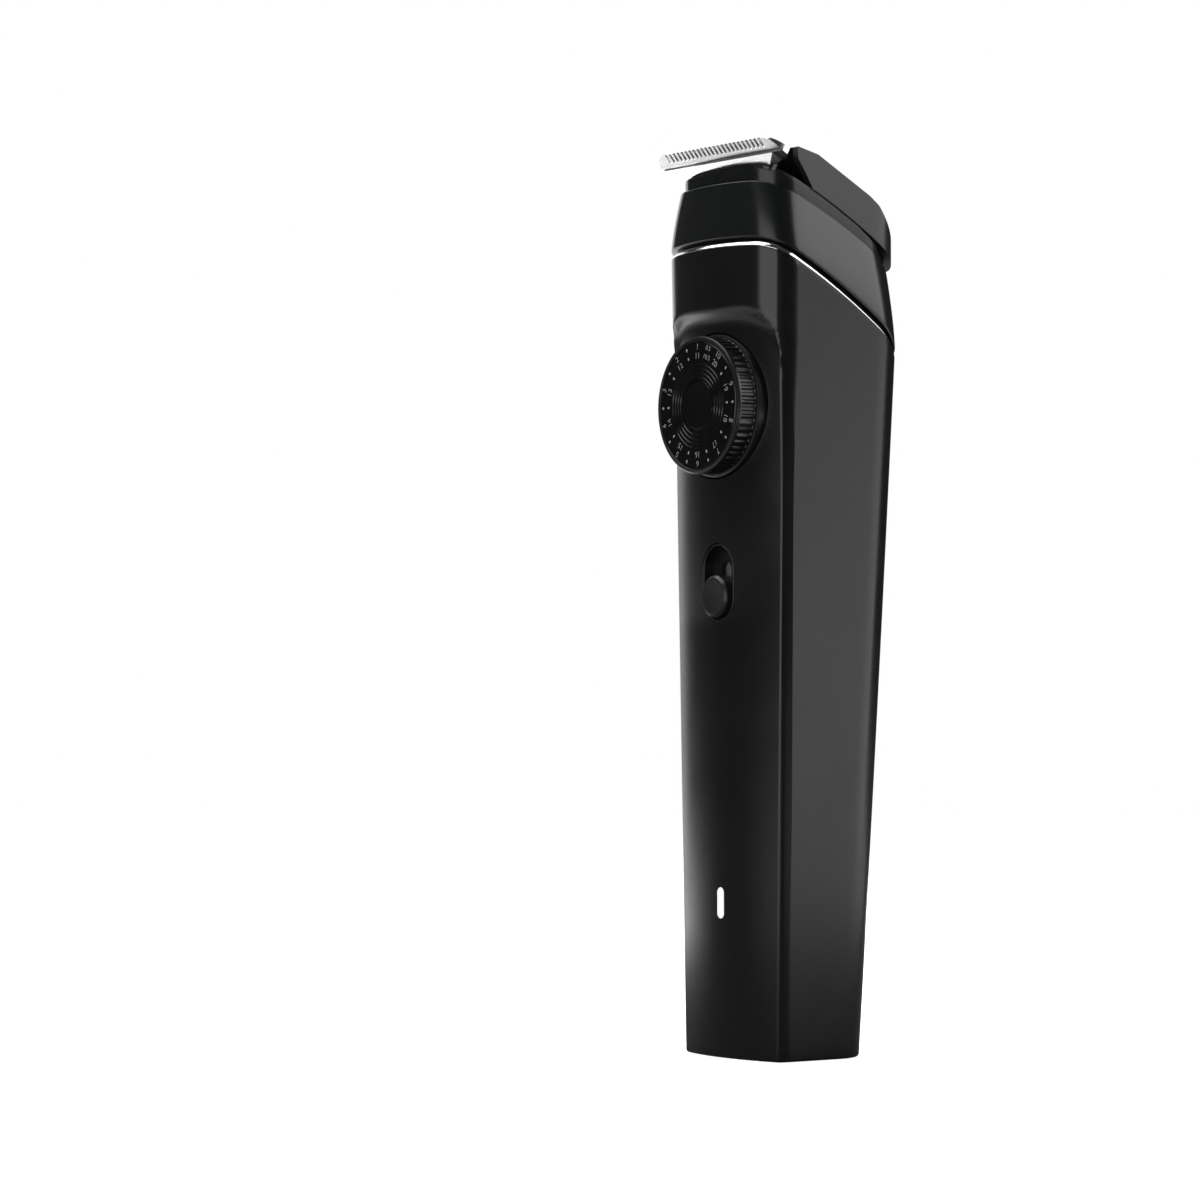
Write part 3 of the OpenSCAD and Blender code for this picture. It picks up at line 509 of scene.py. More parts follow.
def makeNeck():
    edge, wall = neck["edge"], neck["wall"]
    low = collar["z"] - collar["plug"]
    under = ring(lambda k: neckPoint(k, 0, low, collar["fall"]))
    shoulder = ring(lambda k: neckPoint(k, 0, neck["z"] - edge, neck["fall"]))
    rows = [under]
    rows += [[a.lerp(b, share) for a, b in zip(under, shoulder)] for share in neck["rings"]]
    for inset, up in roundOver(edge, 3):
        rows.append(ring(lambda k: neckPoint(k, -inset, neck["z"] - edge + up, neck["fall"])))
    outer = toObject(closeEnds(ringLoft(rows)), "neckRing")
    room = [ring(lambda k: neckPoint(k, -wall, low - 2, collar["fall"])),
            ring(lambda k: neckPoint(k, -wall, neck["z"] - neck["deck"], neck["fall"]))]
    combine(outer, closeEnds(ringLoft(room)), "DIFFERENCE")
    combine(outer, headOpenings(), "DIFFERENCE")
    smoothUnder(outer, 40)
    weigh(outer)
    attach(outer, "blade_head")
    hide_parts("neck_ring")
    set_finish(outer, "collar_black")
    return outer


def hoodSide(t):
    # side view in the head's slanted frame, over the top from the front to the back, drawn t within the face
    h = hood["height"]
    return [(-4, 0), (-6.2, 1.3), (-9.3, 2.85), (-10.5, h - 1.6), (-10.4, h - 1.25), (-5.8, h - t),
            (8, h - t), (10.7 - t / 2, h - 0.35 - t), (14.6 - t, h - 1.9 - t), (19.3 - t, 2.2 - t / 2),
            (21.9 - t, 0)]


def hoodPrism(inset):
    def at(k, z):
        x, y = sectionPoint(
            k, hood["width"] / 2 - inset, neck["front"], hood["back"] - inset, hood["frontCorner"],
            hood["corner"] - inset, tube["frontBow"], tube["backBow"])
        return Vector((x, y, z))
    return closeEnds(ringLoft([ring(lambda k: at(k, z)) for z in (hood["low"], hood["high"])]))


def makeHood():
    under, far, half, wall = -hood["under"], hood["far"], hood["half"], hood["wall"]
    piece = toObject(hoodPrism(0), "headHood")
    side = prismAlongX([(-4, under)] + hoodSide(0) + [(far, under)], half)
    side.transform(headTurn)
    combine(piece, side, "INTERSECT")
    over = [(y, arcHeight(deckHeight, neck["fall"], y)) for y in range(-far, clear + 1)]
    combine(piece, prismAlongX(over + [(clear, hood["above"]), (-far, hood["above"])], half), "INTERSECT")
    room = toObject(hoodPrism(wall), "room")
    inside = [(-12, under), (-12, hood["height"] - wall)] + hoodSide(wall)[6:] + [(far - wall, under)]
    below = prismAlongX(inside, half)
    below.transform(headTurn)
    combine(room, below, "INTERSECT")
    skin = bmesh.new()
    skin.from_mesh(room.data)
    skin.transform(Matrix.Scale(1 / mm, 4))
    bpy.data.objects.remove(room)
    combine(piece, skin, "DIFFERENCE")
    smoothUnder(piece, 28)
    softEdges(piece, hood["ridge"], 28, 3)
    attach(piece, "blade_head")
    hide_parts("head_hood")
    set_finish(piece, "hood_grey")
    return piece


# ---- blades

blade = dict(
    width=37.0, pitch=1.25, gaps=24, slit=0.62, tip=18.8, root=16.7, low=0.14, thick=1.16, cornerY=15.1,
    bevelFrom=16.1, bevelRise=0.36, tongueX=8.8, tongueY=1, tipRound=0.2, edge=0.05,
    groove=(15.4, 16.0), grooveDepth=0.25, lipTop=15.2, lipLow=13.2, lipDrop=1.2, lipBack=12.8, lipRise=0.62,
)
cutter = dict(low=1.4, thick=0.8, tip=18.1, back=11.5, half=13.8, gaps=21, slopeFrom=16.8)


def combEdge(tip, root, gaps, slit, roundness):
    # the toothed edge from left to right, each gap with a round root and each tooth with a round tip
    pitch = blade["pitch"]
    points = []
    for i in range(gaps):
        x = (i - (gaps - 1) / 2) * pitch
        half = slit / 2
        points += [(x - half - roundness, -tip), (x - half - roundness * 0.3, -tip + roundness * 0.3),
                   (x - half, -tip + roundness)]
        points += [(x - half * math.cos(a), -root - half + half * math.sin(a)) for a in
                   (math.pi * j / 6 for j in range(7))]
        points += [(x + half, -tip + roundness), (x + half + roundness * 0.3, -tip + roundness * 0.3),
                   (x + half + roundness, -tip)]
    return points


def plate(outline, low, thick):
    skin = bmesh.new()
    face = skin.faces.new([skin.verts.new((x, y, low)) for x, y in outline])
    grown = bmesh.ops.extrude_face_region(skin, geom=[face])
    moved = [g for g in grown["geom"] if isinstance(g, bmesh.types.BMVert)]
    bmesh.ops.translate(skin, verts=moved, vec=(0, 0, thick))
    bmesh.ops.recalc_face_normals(skin, faces=skin.faces)
    return skin


def makeFixedBlade():
    b = blade
    rowHalf = b["gaps"] * b["pitch"] / 2
    wide, deep = b["width"] / 2 - rowHalf, b["tip"] - b["cornerY"]
    turns = [math.radians(a) for a in range(0, 91, 10)]
    right = [(rowHalf + wide * math.sin(a), -b["cornerY"] - deep * math.cos(a)) for a in turns]
    right += [(b["width"] / 2, -b["cornerY"] + 0.9), (b["width"] / 2 - 1.8, -13),
              (b["tongueX"] + 1.2, -12.4), (b["tongueX"], -11.2), (b["tongueX"], b["tongueY"])]
    left = [(-x, y) for x, y in reversed(right)]
    outline = combEdge(b["tip"], b["root"], b["gaps"], b["slit"], b["tipRound"]) + right + left
    skin = plate(outline, b["low"], b["thick"])
    for y in (b["bevelFrom"], *b["groove"]):
        bmesh.ops.bisect_plane(skin, geom=skin.verts[:] + skin.edges[:] + skin.faces[:], dist=1e-5,
                               plane_co=(0, -y, 0), plane_no=(0, 1, 0))
    for v in skin.verts:
        beyond = -v.co.y - b["bevelFrom"]
        if v.co.z < b["low"] + 0.1 and beyond > 0:
            v.co.z += beyond * b["bevelRise"]
    piece = toObject(skin, "fixedBlade")
    low = b["low"]
    side = [(-15.3, low + 0.1), (-15.3, low), (-13.45, low - b["lipDrop"]), (-13.28, -b["lipRise"]),
            (-b["lipBack"], -b["lipRise"]), (-b["lipBack"], low + 0.1)]
    lip = prismAlongX(side, b["lipTop"])
    for v in lip.verts:
        if v.co.z < low - 0.2:
            share = (low - v.co.z) / b["lipDrop"]
            v.co.x = math.copysign(mix(b["lipTop"], b["lipLow"], share), v.co.x)
    combine(piece, lip, "UNION")
    groove = block(-clear, clear, -b["groove"][1], -b["groove"][0], low - 0.2, low + b["grooveDepth"])
    combine(piece, groove, "DIFFERENCE")
    for side in (-1, 1):
        combine(piece, screwHole(side), "DIFFERENCE")
    piece.data.transform(Matrix.Scale(mm, 4) @ headTurn @ Matrix.Scale(1 / mm, 4))
    smoothUnder(piece, 30)
    softEdges(piece, b["edge"], 40, 2)
    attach(piece, "blade_head")
    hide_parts("fixed_blade")
    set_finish(piece, "blade_steel")
    return piece


def makeMovingBlade():
    c = cutter
    outline = combEdge(c["tip"], blade["root"], c["gaps"], blade["slit"], blade["tipRound"])
    outline += [(c["half"], -c["tip"]), (c["half"], -c["back"]),
                (-c["half"], -c["back"]), (-c["half"], -c["tip"])]
    skin = plate(outline, c["low"], c["thick"])
    bmesh.ops.bisect_plane(skin, geom=skin.verts[:] + skin.edges[:] + skin.faces[:], dist=1e-5,
                           plane_co=(0, -c["slopeFrom"], 0), plane_no=(0, 1, 0))
    fall = (c["thick"] - 0.1) / (c["tip"] + 1 - c["slopeFrom"])
    for v in skin.verts:
        beyond = -v.co.y - c["slopeFrom"]
        if v.co.z > c["low"] + 0.1 and beyond > 0:
            v.co.z -= beyond * fall
    piece = toObject(skin, "movingBlade", headTurn)
    smoothUnder(piece, 30)
    softEdges(piece, blade["edge"], 40, 2)
    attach(piece, "cutter")
    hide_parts("moving_blade")
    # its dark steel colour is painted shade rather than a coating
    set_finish(piece, "cutter_steel")
    return piece


# ---- length dial

dial = dict(
    front=19.0, back=12.6, grip=12.65, rim=11.75, flange=13.2, flangeDeep=2.3, ribs=60, ribDepth=0.3,
    ribFrom=0.75, ribTo=3.95, hollow=10.95, hollowDeep=3.0, boss=4.0, bore=2.0, faceDeep=0.8, capDeep=1.3,
    faceRadius=11.65, capRadius=4.6, grooves=(5.3, 6.1, 6.95, 7.75), grooveHalf=0.16, grooveDeep=0.16,
    outerRow=10.75, innerRow=9.05, digit=1.62, dotWide=0.42, dotTall=0.62, print=0.03, thin=0.014,
    fit=0.1, sunk=0.04, proud=0.002, columns=576, firstDegrees=18, stepDegrees=18, lengths=20,
)


def lathe(profile, columns=96, axisHeight=dialAxis):
    # profile is (radius, y) pairs of a closed section, or of one that ends on the axis that it is spun round
    spun = bmesh.new()
    rim = [spun.verts.new((r, y, axisHeight)) for r, y in profile]
    edges = [spun.edges.new((rim[i], rim[i + 1])) for i in range(len(rim) - 1)]
    if profile[0][0] > 0.001:
        edges.append(spun.edges.new((rim[-1], rim[0])))
    bmesh.ops.spin(spun, geom=rim + edges, cent=(0, 0, axisHeight), axis=(0, 1, 0), dvec=(0, 0, 0),
                   angle=2 * math.pi, steps=columns, use_merge=True, use_duplicate=False)
    bmesh.ops.remove_doubles(spun, verts=spun.verts, dist=1e-4)
    bmesh.ops.recalc_face_normals(spun, faces=spun.faces)
    return spun


def makeDialKnob():
    d = dial
    front, back = -d["front"], -d["back"]
    flangeTop = back - d["flangeDeep"]
    seat, grip, flange, roof = d["capRadius"] + d["fit"], d["grip"], d["flange"], back - d["hollowDeep"]
    profile = [(d["bore"], front + d["capDeep"]), (seat, front + d["capDeep"]), (seat, front + d["faceDeep"])]
    profile += [(d["rim"], front + d["faceDeep"]), (d["rim"], front + 0.08), (d["rim"] + 0.06, front)]
    profile += [(grip - 0.42, front), (grip - 0.16, front + 0.08), (grip - 0.03, front + 0.24)]
    profile += [(grip, front + deep) for deep in (
        0.42, d["ribFrom"], d["ribFrom"] + 0.12, 1.6, 2.4, 3.2, d["ribTo"] - 0.12)]
    profile += [(grip - 0.06, front + d["ribTo"]), (grip - 0.06, flangeTop - 0.02)]
    profile += [(flange - 0.25, flangeTop), (flange - 0.07, flangeTop + 0.07), (flange, flangeTop + 0.25)]
    profile += [(flange, back - 0.15), (flange - 0.15, back)]
    profile += [(d["hollow"], back), (d["hollow"], roof), (d["boss"], roof), (d["boss"], back)]
    profile += [(d["bore"], back)]
    knob = lathe(profile, d["columns"])
    ribFront, ribBack = front + d["ribFrom"] + 0.05, front + d["ribTo"] - 0.1
    for v in knob.verts:
        across = math.hypot(v.co.x, v.co.z - dialAxis)
        if ribFront < v.co.y < ribBack and abs(across - grip) < 0.01:
            wave = math.cos(d["ribs"] * math.atan2(v.co.z - dialAxis, v.co.x))
            cut = d["ribDepth"] * (0.5 - 0.5 * max(-1, min(1, 1.6 * wave)))
            v.co.x *= (across - cut) / across
            v.co.z = dialAxis + (v.co.z - dialAxis) * (across - cut) / across
    piece = smoothUnder(toObject(knob, "dialKnob"), 30)
    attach(piece, "length_dial")
    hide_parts("dial_knob")
    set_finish(piece, "dial_black")
    return piece


def makeDialFace():
    d = dial
    top = -d["front"] + d["sunk"]
    bottom = -d["front"] + d["faceDeep"]
    hole = d["capRadius"] + d["fit"]
    profile = [(hole, top)]
    for r in d["grooves"]:
        low = top + d["grooveDeep"]
        profile += [(r - d["grooveHalf"], top), (r - 0.04, low), (r + 0.04, low), (r + d["grooveHalf"], top)]
    profile += [(d["faceRadius"] - 0.08, top), (d["faceRadius"], top + 0.08)]
    profile += [(d["faceRadius"], bottom), (hole, bottom)]
    piece = smoothUnder(toObject(lathe(profile, 160), "dialFace"), 25)
    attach(piece, "length_dial")
    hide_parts("dial_face")
    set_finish(piece, "face_black")
    return piece


def makeDialCap():
    d = dial
    r, top = d["capRadius"], -d["front"]
    profile = [(0, top + 0.12), (1.5, top + 0.11), (3.0, top + 0.07), (r - 0.6, top + 0.02), (r - 0.3, top),
               (r - 0.1, top + 0.04), (r, top + 0.18), (r, top + d["capDeep"]), (0, top + d["capDeep"])]
    piece = smoothUnder(toObject(lathe(profile, 96), "dialCap"), 40)
    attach(piece, "length_dial")
    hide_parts("dial_cap")
    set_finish(piece, "face_black")
    return piece


def flatText(word, height):
    # a word as a flat mesh, centred, read along X with its top towards Z
    text = bpy.data.curves.new("digits", "FONT")
    text.body = word
    text.size = height
    text.align_x, text.align_y = "CENTER", "CENTER"
    text.extrude = dial["print"] / 2
    text.offset = -dial["thin"] * height
    holder = bpy.data.objects.new("digits", text)
    bpy.context.scene.collection.objects.link(holder)
    mesh = bpy.data.meshes.new_from_object(holder.evaluated_get(bpy.context.evaluated_depsgraph_get()))
    skin = bmesh.new()
    skin.from_mesh(mesh)
    bpy.data.objects.remove(holder)
    bpy.data.meshes.remove(mesh)
    bmesh.ops.remove_doubles(skin, verts=skin.verts, dist=1e-4)
    skin.transform(Matrix.Rotation(math.pi / 2, 4, "X"))
    return skin


def onDial(skin, radius, degrees):
    # degrees clockwise from the top, with the top of the figure outwards
    turn = Matrix.Rotation(math.radians(degrees), 4, "Y")
    y = -dial["front"] + dial["sunk"] - dial["print"] / 2 + dial["proud"]
    skin.transform(Matrix.Translation((0, y, dialAxis)) @ turn @ Matrix.Translation((0, 0, radius)))
    return skin


def makeDialFigures():
    d = dial
    skins = []
    for half in range(d["lengths"]):
        degrees = d["firstDegrees"] - d["stepDegrees"] * half
        length = 0.5 + 0.5 * half
        for radius, value in ((d["outerRow"], length), (d["innerRow"], length + 10)):
            if half == 0 or value == int(value):
                word = "%g" % value
                height = d["digit"] * (0.8 if len(word) > 2 else 1)
                skins.append(onDial(flatText(word, height), radius, degrees))
            else:
                dot = rodAlongY(0.5, -d["print"] / 2, d["print"] / 2, segments=24)
                bmesh.ops.scale(dot, verts=dot.verts, vec=(d["dotWide"], 1, d["dotTall"]))
                skins.append(onDial(dot, radius, degrees))
    piece = toObject(join(skins), "dialFigures")
    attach(piece, "length_dial")
    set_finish(piece, "face_black")
    return piece


# ---- switch and light

button = dict(diameter=7.8, proud=1.1, edge=0.45, stem=1.4, stemBack=11.2, dish=0.1, floorGap=0.15, z=84.75)
bezel = dict(width=9.5, length=14.6, thickness=0.45, below=0.18, round=0.12)
pipe = dict(width=2.0, length=5.7, proud=0.02, back=10.1, flange=1.6, flangeGap=0.1, flangeBack=11, round=0.1)


def makeButton():
    b = button
    r = b["diameter"] / 2
    panel = -tubePoint(0, b["z"]).y
    top = -(panel + b["proud"])
    back = -pocket["floor"] - b["floorGap"]
    edge = b["edge"]
    profile = [(0, top + b["dish"]), (1.6, top + b["dish"] * 0.8)]
    profile += [(r - edge - 0.5, top + 0.02), (r - edge - 0.12, top), (r - edge, top + 0.03)]
    profile += [(r - 0.07, top + edge - 0.03), (r, top + edge + 0.1), (r, back - 0.1), (r - 0.1, back)]
    profile += [(b["stem"], back), (b["stem"], -b["stemBack"]), (0, -b["stemBack"])]
    piece = smoothUnder(toObject(lathe(profile, 96, b["z"]), "powerButton"), 28)
    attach(piece, "power_switch")
    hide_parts("power_button")
    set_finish(piece, "button_black")
    return piece


def makeBezel():
    b = bezel
    front = tubePoint(0, pocket["z"]).y + b["below"]
    outer = slotAlongY(b["width"], b["length"], front, -pocket["floor"], pocket["z"], 96)
    piece = toObject(outer, "switchBezel")
    both = 2 * b["thickness"]
    inner = slotAlongY(b["width"] - both, b["length"] - both, -clear, 0, pocket["z"], 96)
    combine(piece, inner, "DIFFERENCE")
    smoothUnder(piece, 35)
    softEdges(piece, b["round"], 50, 3)
    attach(piece, "housing")
    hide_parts("switch_bezel")
    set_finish(piece, "mechanism_black")
    return piece


def makeLightPipe():
    p, z = pipe, lightSlot["z"]
    front = tubePoint(0, z).y
    piece = toObject(slotAlongY(p["width"], p["length"], front - p["proud"], -p["back"], z, 64), "lightPipe")
    behind = front + tube["wall"] + p["flangeGap"]
    flange = slotAlongY(p["width"] + p["flange"], p["length"] + p["flange"], behind, -p["flangeBack"], z, 64)
    combine(piece, flange, "UNION")
    smoothUnder(piece, 35)
    softEdges(piece, p["round"], 50, 3)
    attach(piece, "housing")
    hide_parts("led_light_pipe")
    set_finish(piece, "light_white")
    return piece


# ---- foot

foot = dict(
    inset=1.9, height=6, floor=2.2, skirt=1.2, edge=0.25, plugWide=9.3, plugDeep=3.6, plugY=-6.2,
    screwX=9.2, screwY=-1.5, screwHoles=((0.95, 6), (2.0, 2.8)),  # (radius, depth) of the hole and its recess
)


def makeBottomCap():
    f = foot
    lower = roundOver(f["edge"], 3, turnIn=False)
    rows = [ring(lambda k: tubePoint(k, up, f["inset"] + i)) for i, up in lower]
    rows.append(ring(lambda k: tubePoint(k, f["height"], f["inset"])))
    piece = toObject(closeEnds(ringLoft(rows)), "bottomCap")
    inner = f["inset"] + f["skirt"]
    room = ringLoft([ring(lambda k: tubePoint(k, z, inner)) for z in (f["floor"], f["height"] + 1)])
    combine(piece, closeEnds(room), "DIFFERENCE")
    plug = slotAlongY(f["plugDeep"], f["plugWide"], -3, 3, 0)
    plug.transform(Matrix.Translation((0, f["plugY"], 1)) @ Matrix.Rotation(math.pi / 2, 4, "Z")
                   @ Matrix.Rotation(math.pi / 2, 4, "Y") @ Matrix.Rotation(math.pi / 2, 4, "Z"))
    combine(piece, plug, "DIFFERENCE")
    for side in (-1, 1):
        for radius, depth in f["screwHoles"]:
            hole = rod(radius, depth, 32)
            hole.transform(Matrix.Translation((side * f["screwX"], f["screwY"], 0)))
            combine(piece, hole, "DIFFERENCE")
    smoothUnder(piece, 35)
    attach(piece, "housing")
    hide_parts("bottom_cap")
    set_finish(piece, "body_black")
    return piece


# ---- shared shader groups

def newGroup(name, inputs, outputs):
    group = bpy.data.node_groups.new(name, "ShaderNodeTree")
    for socket, kind, value in inputs:
        made = group.interface.new_socket(name=socket, in_out="INPUT", socket_type=kind)
        if value is not None:
            made.default_value = value
    for socket, kind in outputs:
        group.interface.new_socket(name=socket, in_out="OUTPUT", socket_type=kind)
    return group, group.nodes.new("NodeGroupInput"), group.nodes.new("NodeGroupOutput")


def addNode(tree, kind, **settings):
    node = tree.nodes.new(kind)
    for name, value in settings.items():
        setattr(node, name, value)
    return node


def mathNode(tree, operation, a, b=None):
    node = addNode(tree, "ShaderNodeMath", operation=operation)
    for i, value in enumerate((a, b)):
        if isinstance(value, bpy.types.NodeSocket):
            tree.links.new(value, node.inputs[i])
        elif value is not None:
            node.inputs[i].default_value = value
    return node.outputs[0]


def rangeNode(tree, value, low, high, toLow, toHigh):
    node = addNode(tree, "ShaderNodeMapRange")
    tree.links.new(value, node.inputs["Value"])
    for name, v in (("From Min", low), ("From Max", high)):
        node.inputs[name].default_value = v
    for name, v in (("To Min", toLow), ("To Max", toHigh)):
        if isinstance(v, bpy.types.NodeSocket):
            tree.links.new(v, node.inputs[name])
        else:
            node.inputs[name].default_value = v
    return node.outputs["Result"]


def noiseNode(tree, place, **inputs):
    node = addNode(tree, "ShaderNodeTexNoise", noise_dimensions="3D")
    tree.links.new(place, node.inputs["Vector"])
    for name, value in inputs.items():
        node.inputs[name].default_value = value
    return node


def wireOut(group, source, sink, shade, rough, height, depth, distance):
    # the colour scaled by shade, the roughness, and a bump from height with the input depth as its strength
    tint = addNode(group, "ShaderNodeVectorMath", operation="SCALE")
    bump = addNode(group, "ShaderNodeBump")
    bump.inputs["Distance"].default_value = distance
    for start, end in (
        (source.outputs["Colour"], tint.inputs[0]), (shade, tint.inputs["Scale"]),
        (tint.outputs["Vector"], sink.inputs["Colour"]), (rough, sink.inputs["Roughness"]),
        (source.outputs[depth], bump.inputs["Strength"]), (height, bump.inputs["Height"]),
        (bump.outputs["Normal"], sink.inputs["Normal"]),
    ):
        group.links.new(start, end)


def aroundNode(tree, value, centre, reach, low, high):
    # value from low to high, spread over centre less and plus reach
    return rangeNode(tree, value, low, high, mathNode(tree, "SUBTRACT", centre, reach),
                     mathNode(tree, "ADD", centre, reach))


def mouldedGroup():
    # fine spark-eroded grain, faint flow marks and handling smudges of a moulded plastic
    group, source, sink = newGroup(
        "mouldedFinish",
        [("Colour", "NodeSocketColor", (0.02, 0.02, 0.02, 1)), ("Roughness", "NodeSocketFloat", 0.35),
         ("Grain Size", "NodeSocketFloat", 4200.0), ("Grain Depth", "NodeSocketFloat", 0.12),
         ("Smudge", "NodeSocketFloat", 0.06), ("Tint", "NodeSocketFloat", 0.12)],
        [("Colour", "NodeSocketColor"), ("Roughness", "NodeSocketFloat"), ("Normal", "NodeSocketVector")])
    place = addNode(group, "ShaderNodeTexCoord").outputs["Object"]
    grain = noiseNode(group, place, Detail=2.0)
    group.links.new(source.outputs["Grain Size"], grain.inputs["Scale"])
    smudge = noiseNode(group, place, Scale=55.0, Detail=5.0, Distortion=0.6).outputs["Fac"]
    rough = aroundNode(group, smudge, source.outputs["Roughness"], source.outputs["Smudge"], 0.3, 0.7)
    shade = aroundNode(group, smudge, 1.0, source.outputs["Tint"], 0.25, 0.75)
    wireOut(group, source, sink, shade, rough, grain.outputs["Fac"], "Grain Depth", 0.00004)
    return group


def groundGroup():
    # grinding lines that run along X, with faint stains between them
    group, source, sink = newGroup(
        "groundMetal",
        [("Colour", "NodeSocketColor", (0.7, 0.7, 0.7, 1)), ("Roughness", "NodeSocketFloat", 0.2),
         ("Line Depth", "NodeSocketFloat", 0.2), ("Spread", "NodeSocketFloat", 0.08),
         ("Stretch", "NodeSocketVector", (120.0, 9000.0, 9000.0))],
        [("Colour", "NodeSocketColor"), ("Roughness", "NodeSocketFloat"), ("Normal", "NodeSocketVector")])
    place = addNode(group, "ShaderNodeTexCoord").outputs["Object"]
    stretch = addNode(group, "ShaderNodeVectorMath", operation="MULTIPLY")
    group.links.new(place, stretch.inputs[0])
    group.links.new(source.outputs["Stretch"], stretch.inputs[1])
    lines = noiseNode(group, stretch.outputs["Vector"], Scale=1.0, Detail=3.0).outputs["Fac"]
    stain = noiseNode(group, place, Scale=160.0, Detail=4.0).outputs["Fac"]
    rough = aroundNode(group, lines, source.outputs["Roughness"], source.outputs["Spread"], 0.3, 0.7)
    shade = rangeNode(group, stain, 0.3, 0.7, 0.9, 1.06)
    wireOut(group, source, sink, shade, rough, lines, "Line Depth", 0.00003)
    return group


finishes = {"moulded": mouldedGroup(), "ground": groundGroup()}


def newMaterial(name, finish, values, constants):
    # values set the shared group's inputs; constants go on the shader's own sockets
    material = bpy.data.materials.new(name)
    material.use_nodes = True
    tree = material.node_tree
    shader = tree.nodes["Principled BSDF"]
    group = addNode(tree, "ShaderNodeGroup")
    group.node_tree = finishes[finish]
    for socket, value in values.items():
        group.inputs[socket].default_value = value
    tree.links.new(group.outputs["Colour"], shader.inputs["Base Color"])
    tree.links.new(group.outputs["Roughness"], shader.inputs["Roughness"])
    tree.links.new(group.outputs["Normal"], shader.inputs["Normal"])
    for socket, value in constants.items():
        shader.inputs[socket].default_value = value
    return material


def grey(level, warm=0.0):
    return (level * (1 + warm), level, level * (1 - warm), 1)


def plasticMaterial(name, colour, roughness, grain=0.12, size=4200.0, smudge=0.05, tint=0.1, **constants):
    more = {"IOR": 1.5, "Specular IOR Level": 0.5}
    more.update({key.replace("_", " "): v for key, v in constants.items()})
    return newMaterial(name, "moulded", {"Colour": colour, "Roughness": roughness, "Grain Depth": grain,
                                         "Grain Size": size, "Smudge": smudge, "Tint": tint}, more)


def metalMaterial(name, colour, roughness, depth=0.15, spread=0.06, stretch=(120.0, 9000.0, 9000.0)):
    return newMaterial(name, "ground", {"Colour": colour, "Roughness": roughness, "Line Depth": depth,
                                        "Spread": spread, "Stretch": stretch}, {"Metallic": 1.0})


def makeMaterials():
    return dict(
        body_black=plasticMaterial("satinBlack", grey(0.006), 0.24, grain=0.1, smudge=0.03,
                                   Specular_IOR_Level=0.4),
        collar_black=plasticMaterial("collarBlack", (0.007, 0.0078, 0.0078, 1), 0.24, grain=0.05, smudge=0.03,
                                     Specular_IOR_Level=0.36),
        hood_grey=plasticMaterial("hoodBlack", (0.01, 0.011, 0.011, 1), 0.3, grain=0.12, smudge=0.03),
        mechanism_black=plasticMaterial("mechanismBlack", grey(0.006), 0.3, grain=0.1),
        ring_chrome=metalMaterial("chromeRing", grey(0.9), 0.1, depth=0.02, spread=0.03),
        blade_steel=metalMaterial("bladeSteel", grey(0.8), 0.2, depth=0.2, spread=0.07),
        # the cutter's steel colour is darkened as painted shade, standing in for teeth that look dark from
        # reflecting dark surroundings
        cutter_steel=metalMaterial("cutterSteelPaintedShade", grey(0.16), 0.32, depth=0.25, spread=0.08),
        spring_steel=metalMaterial("springSteel", grey(0.6), 0.25),
        screw_steel=metalMaterial("screwSteel", grey(0.45, 0.02), 0.3, stretch=(2500.0, 2500.0, 2500.0)),
        can_steel=metalMaterial("canSteel", grey(0.55), 0.28, stretch=(300.0, 300.0, 6000.0)),
        dial_black=plasticMaterial("dialBlack", grey(0.006), 0.33, grain=0.08),
        face_black=plasticMaterial("faceBlack", grey(0.002), 0.22, grain=0.03, smudge=0.04),
        button_black=plasticMaterial("buttonBlack", grey(0.009), 0.32, grain=0.08),
        light_white=plasticMaterial("lightWhite", (0.86, 0.87, 0.88, 1), 0.3, grain=0.02, tint=0.02,
                                    Subsurface_Weight=0.2, Emission_Color=(1, 1, 1, 1),
                                    Emission_Strength=0.55),
        chassis_grey=plasticMaterial("chassisGrey", grey(0.1), 0.45, grain=0.2),
        board_green=plasticMaterial("boardGreen", (0.012, 0.11, 0.035, 1), 0.35, grain=0.05, tint=0.2),
        chip_black=plasticMaterial("chipBlack", grey(0.015), 0.5, grain=0.2),
        cell_blue=plasticMaterial("cellBlue", (0.03, 0.09, 0.24, 1), 0.25, grain=0.04),
        contact_brass=metalMaterial("tabMetal", (0.66, 0.58, 0.36, 1), 0.28),
        gear_natural=plasticMaterial("naturalAcetal", (0.72, 0.7, 0.64, 1), 0.38, grain=0.08, tint=0.04,
                                     Subsurface_Weight=0.1),
        figures=plasticMaterial("figurePrint", grey(0.28), 0.5, grain=0.05, tint=0.15),
    )


def dress(piece, material):
    piece.data.materials.clear()
    piece.data.materials.append(material)


# ---- make everything

materials = makeMaterials()
makers = [makeTube, makeTrimRing, makeCollar, makeNeck, makeHood, makeFixedBlade, makeMovingBlade,
          makeDialKnob, makeDialFace, makeDialCap, makeDialFigures, makeButton, makeBezel, makeLightPipe,
          makeBottomCap]
for maker in makers:
    made = maker()
    dress(made, materials["figures" if made.name == "dialFigures" else made["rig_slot"]])
    print("made", made.name, len(made.data.polygons), "faces")
for row in frame["record"]["subparts"]:
    node = frame["nodes"][row["node"]]
    if not node.hide_render:
        dress(node, materials[row["material_slot"]])
print("materials set")


# ---- stage, light and camera

# the floor and the background are bright to look at, but cast little light on the glossy body
stage = dict(
    radius=1500, drop=0.1, seenGlow=0.9, castGlow=0.05, seenPale=0.9, castPale=0.1,
    worldSeen=1.0, worldCast=0.03,
)


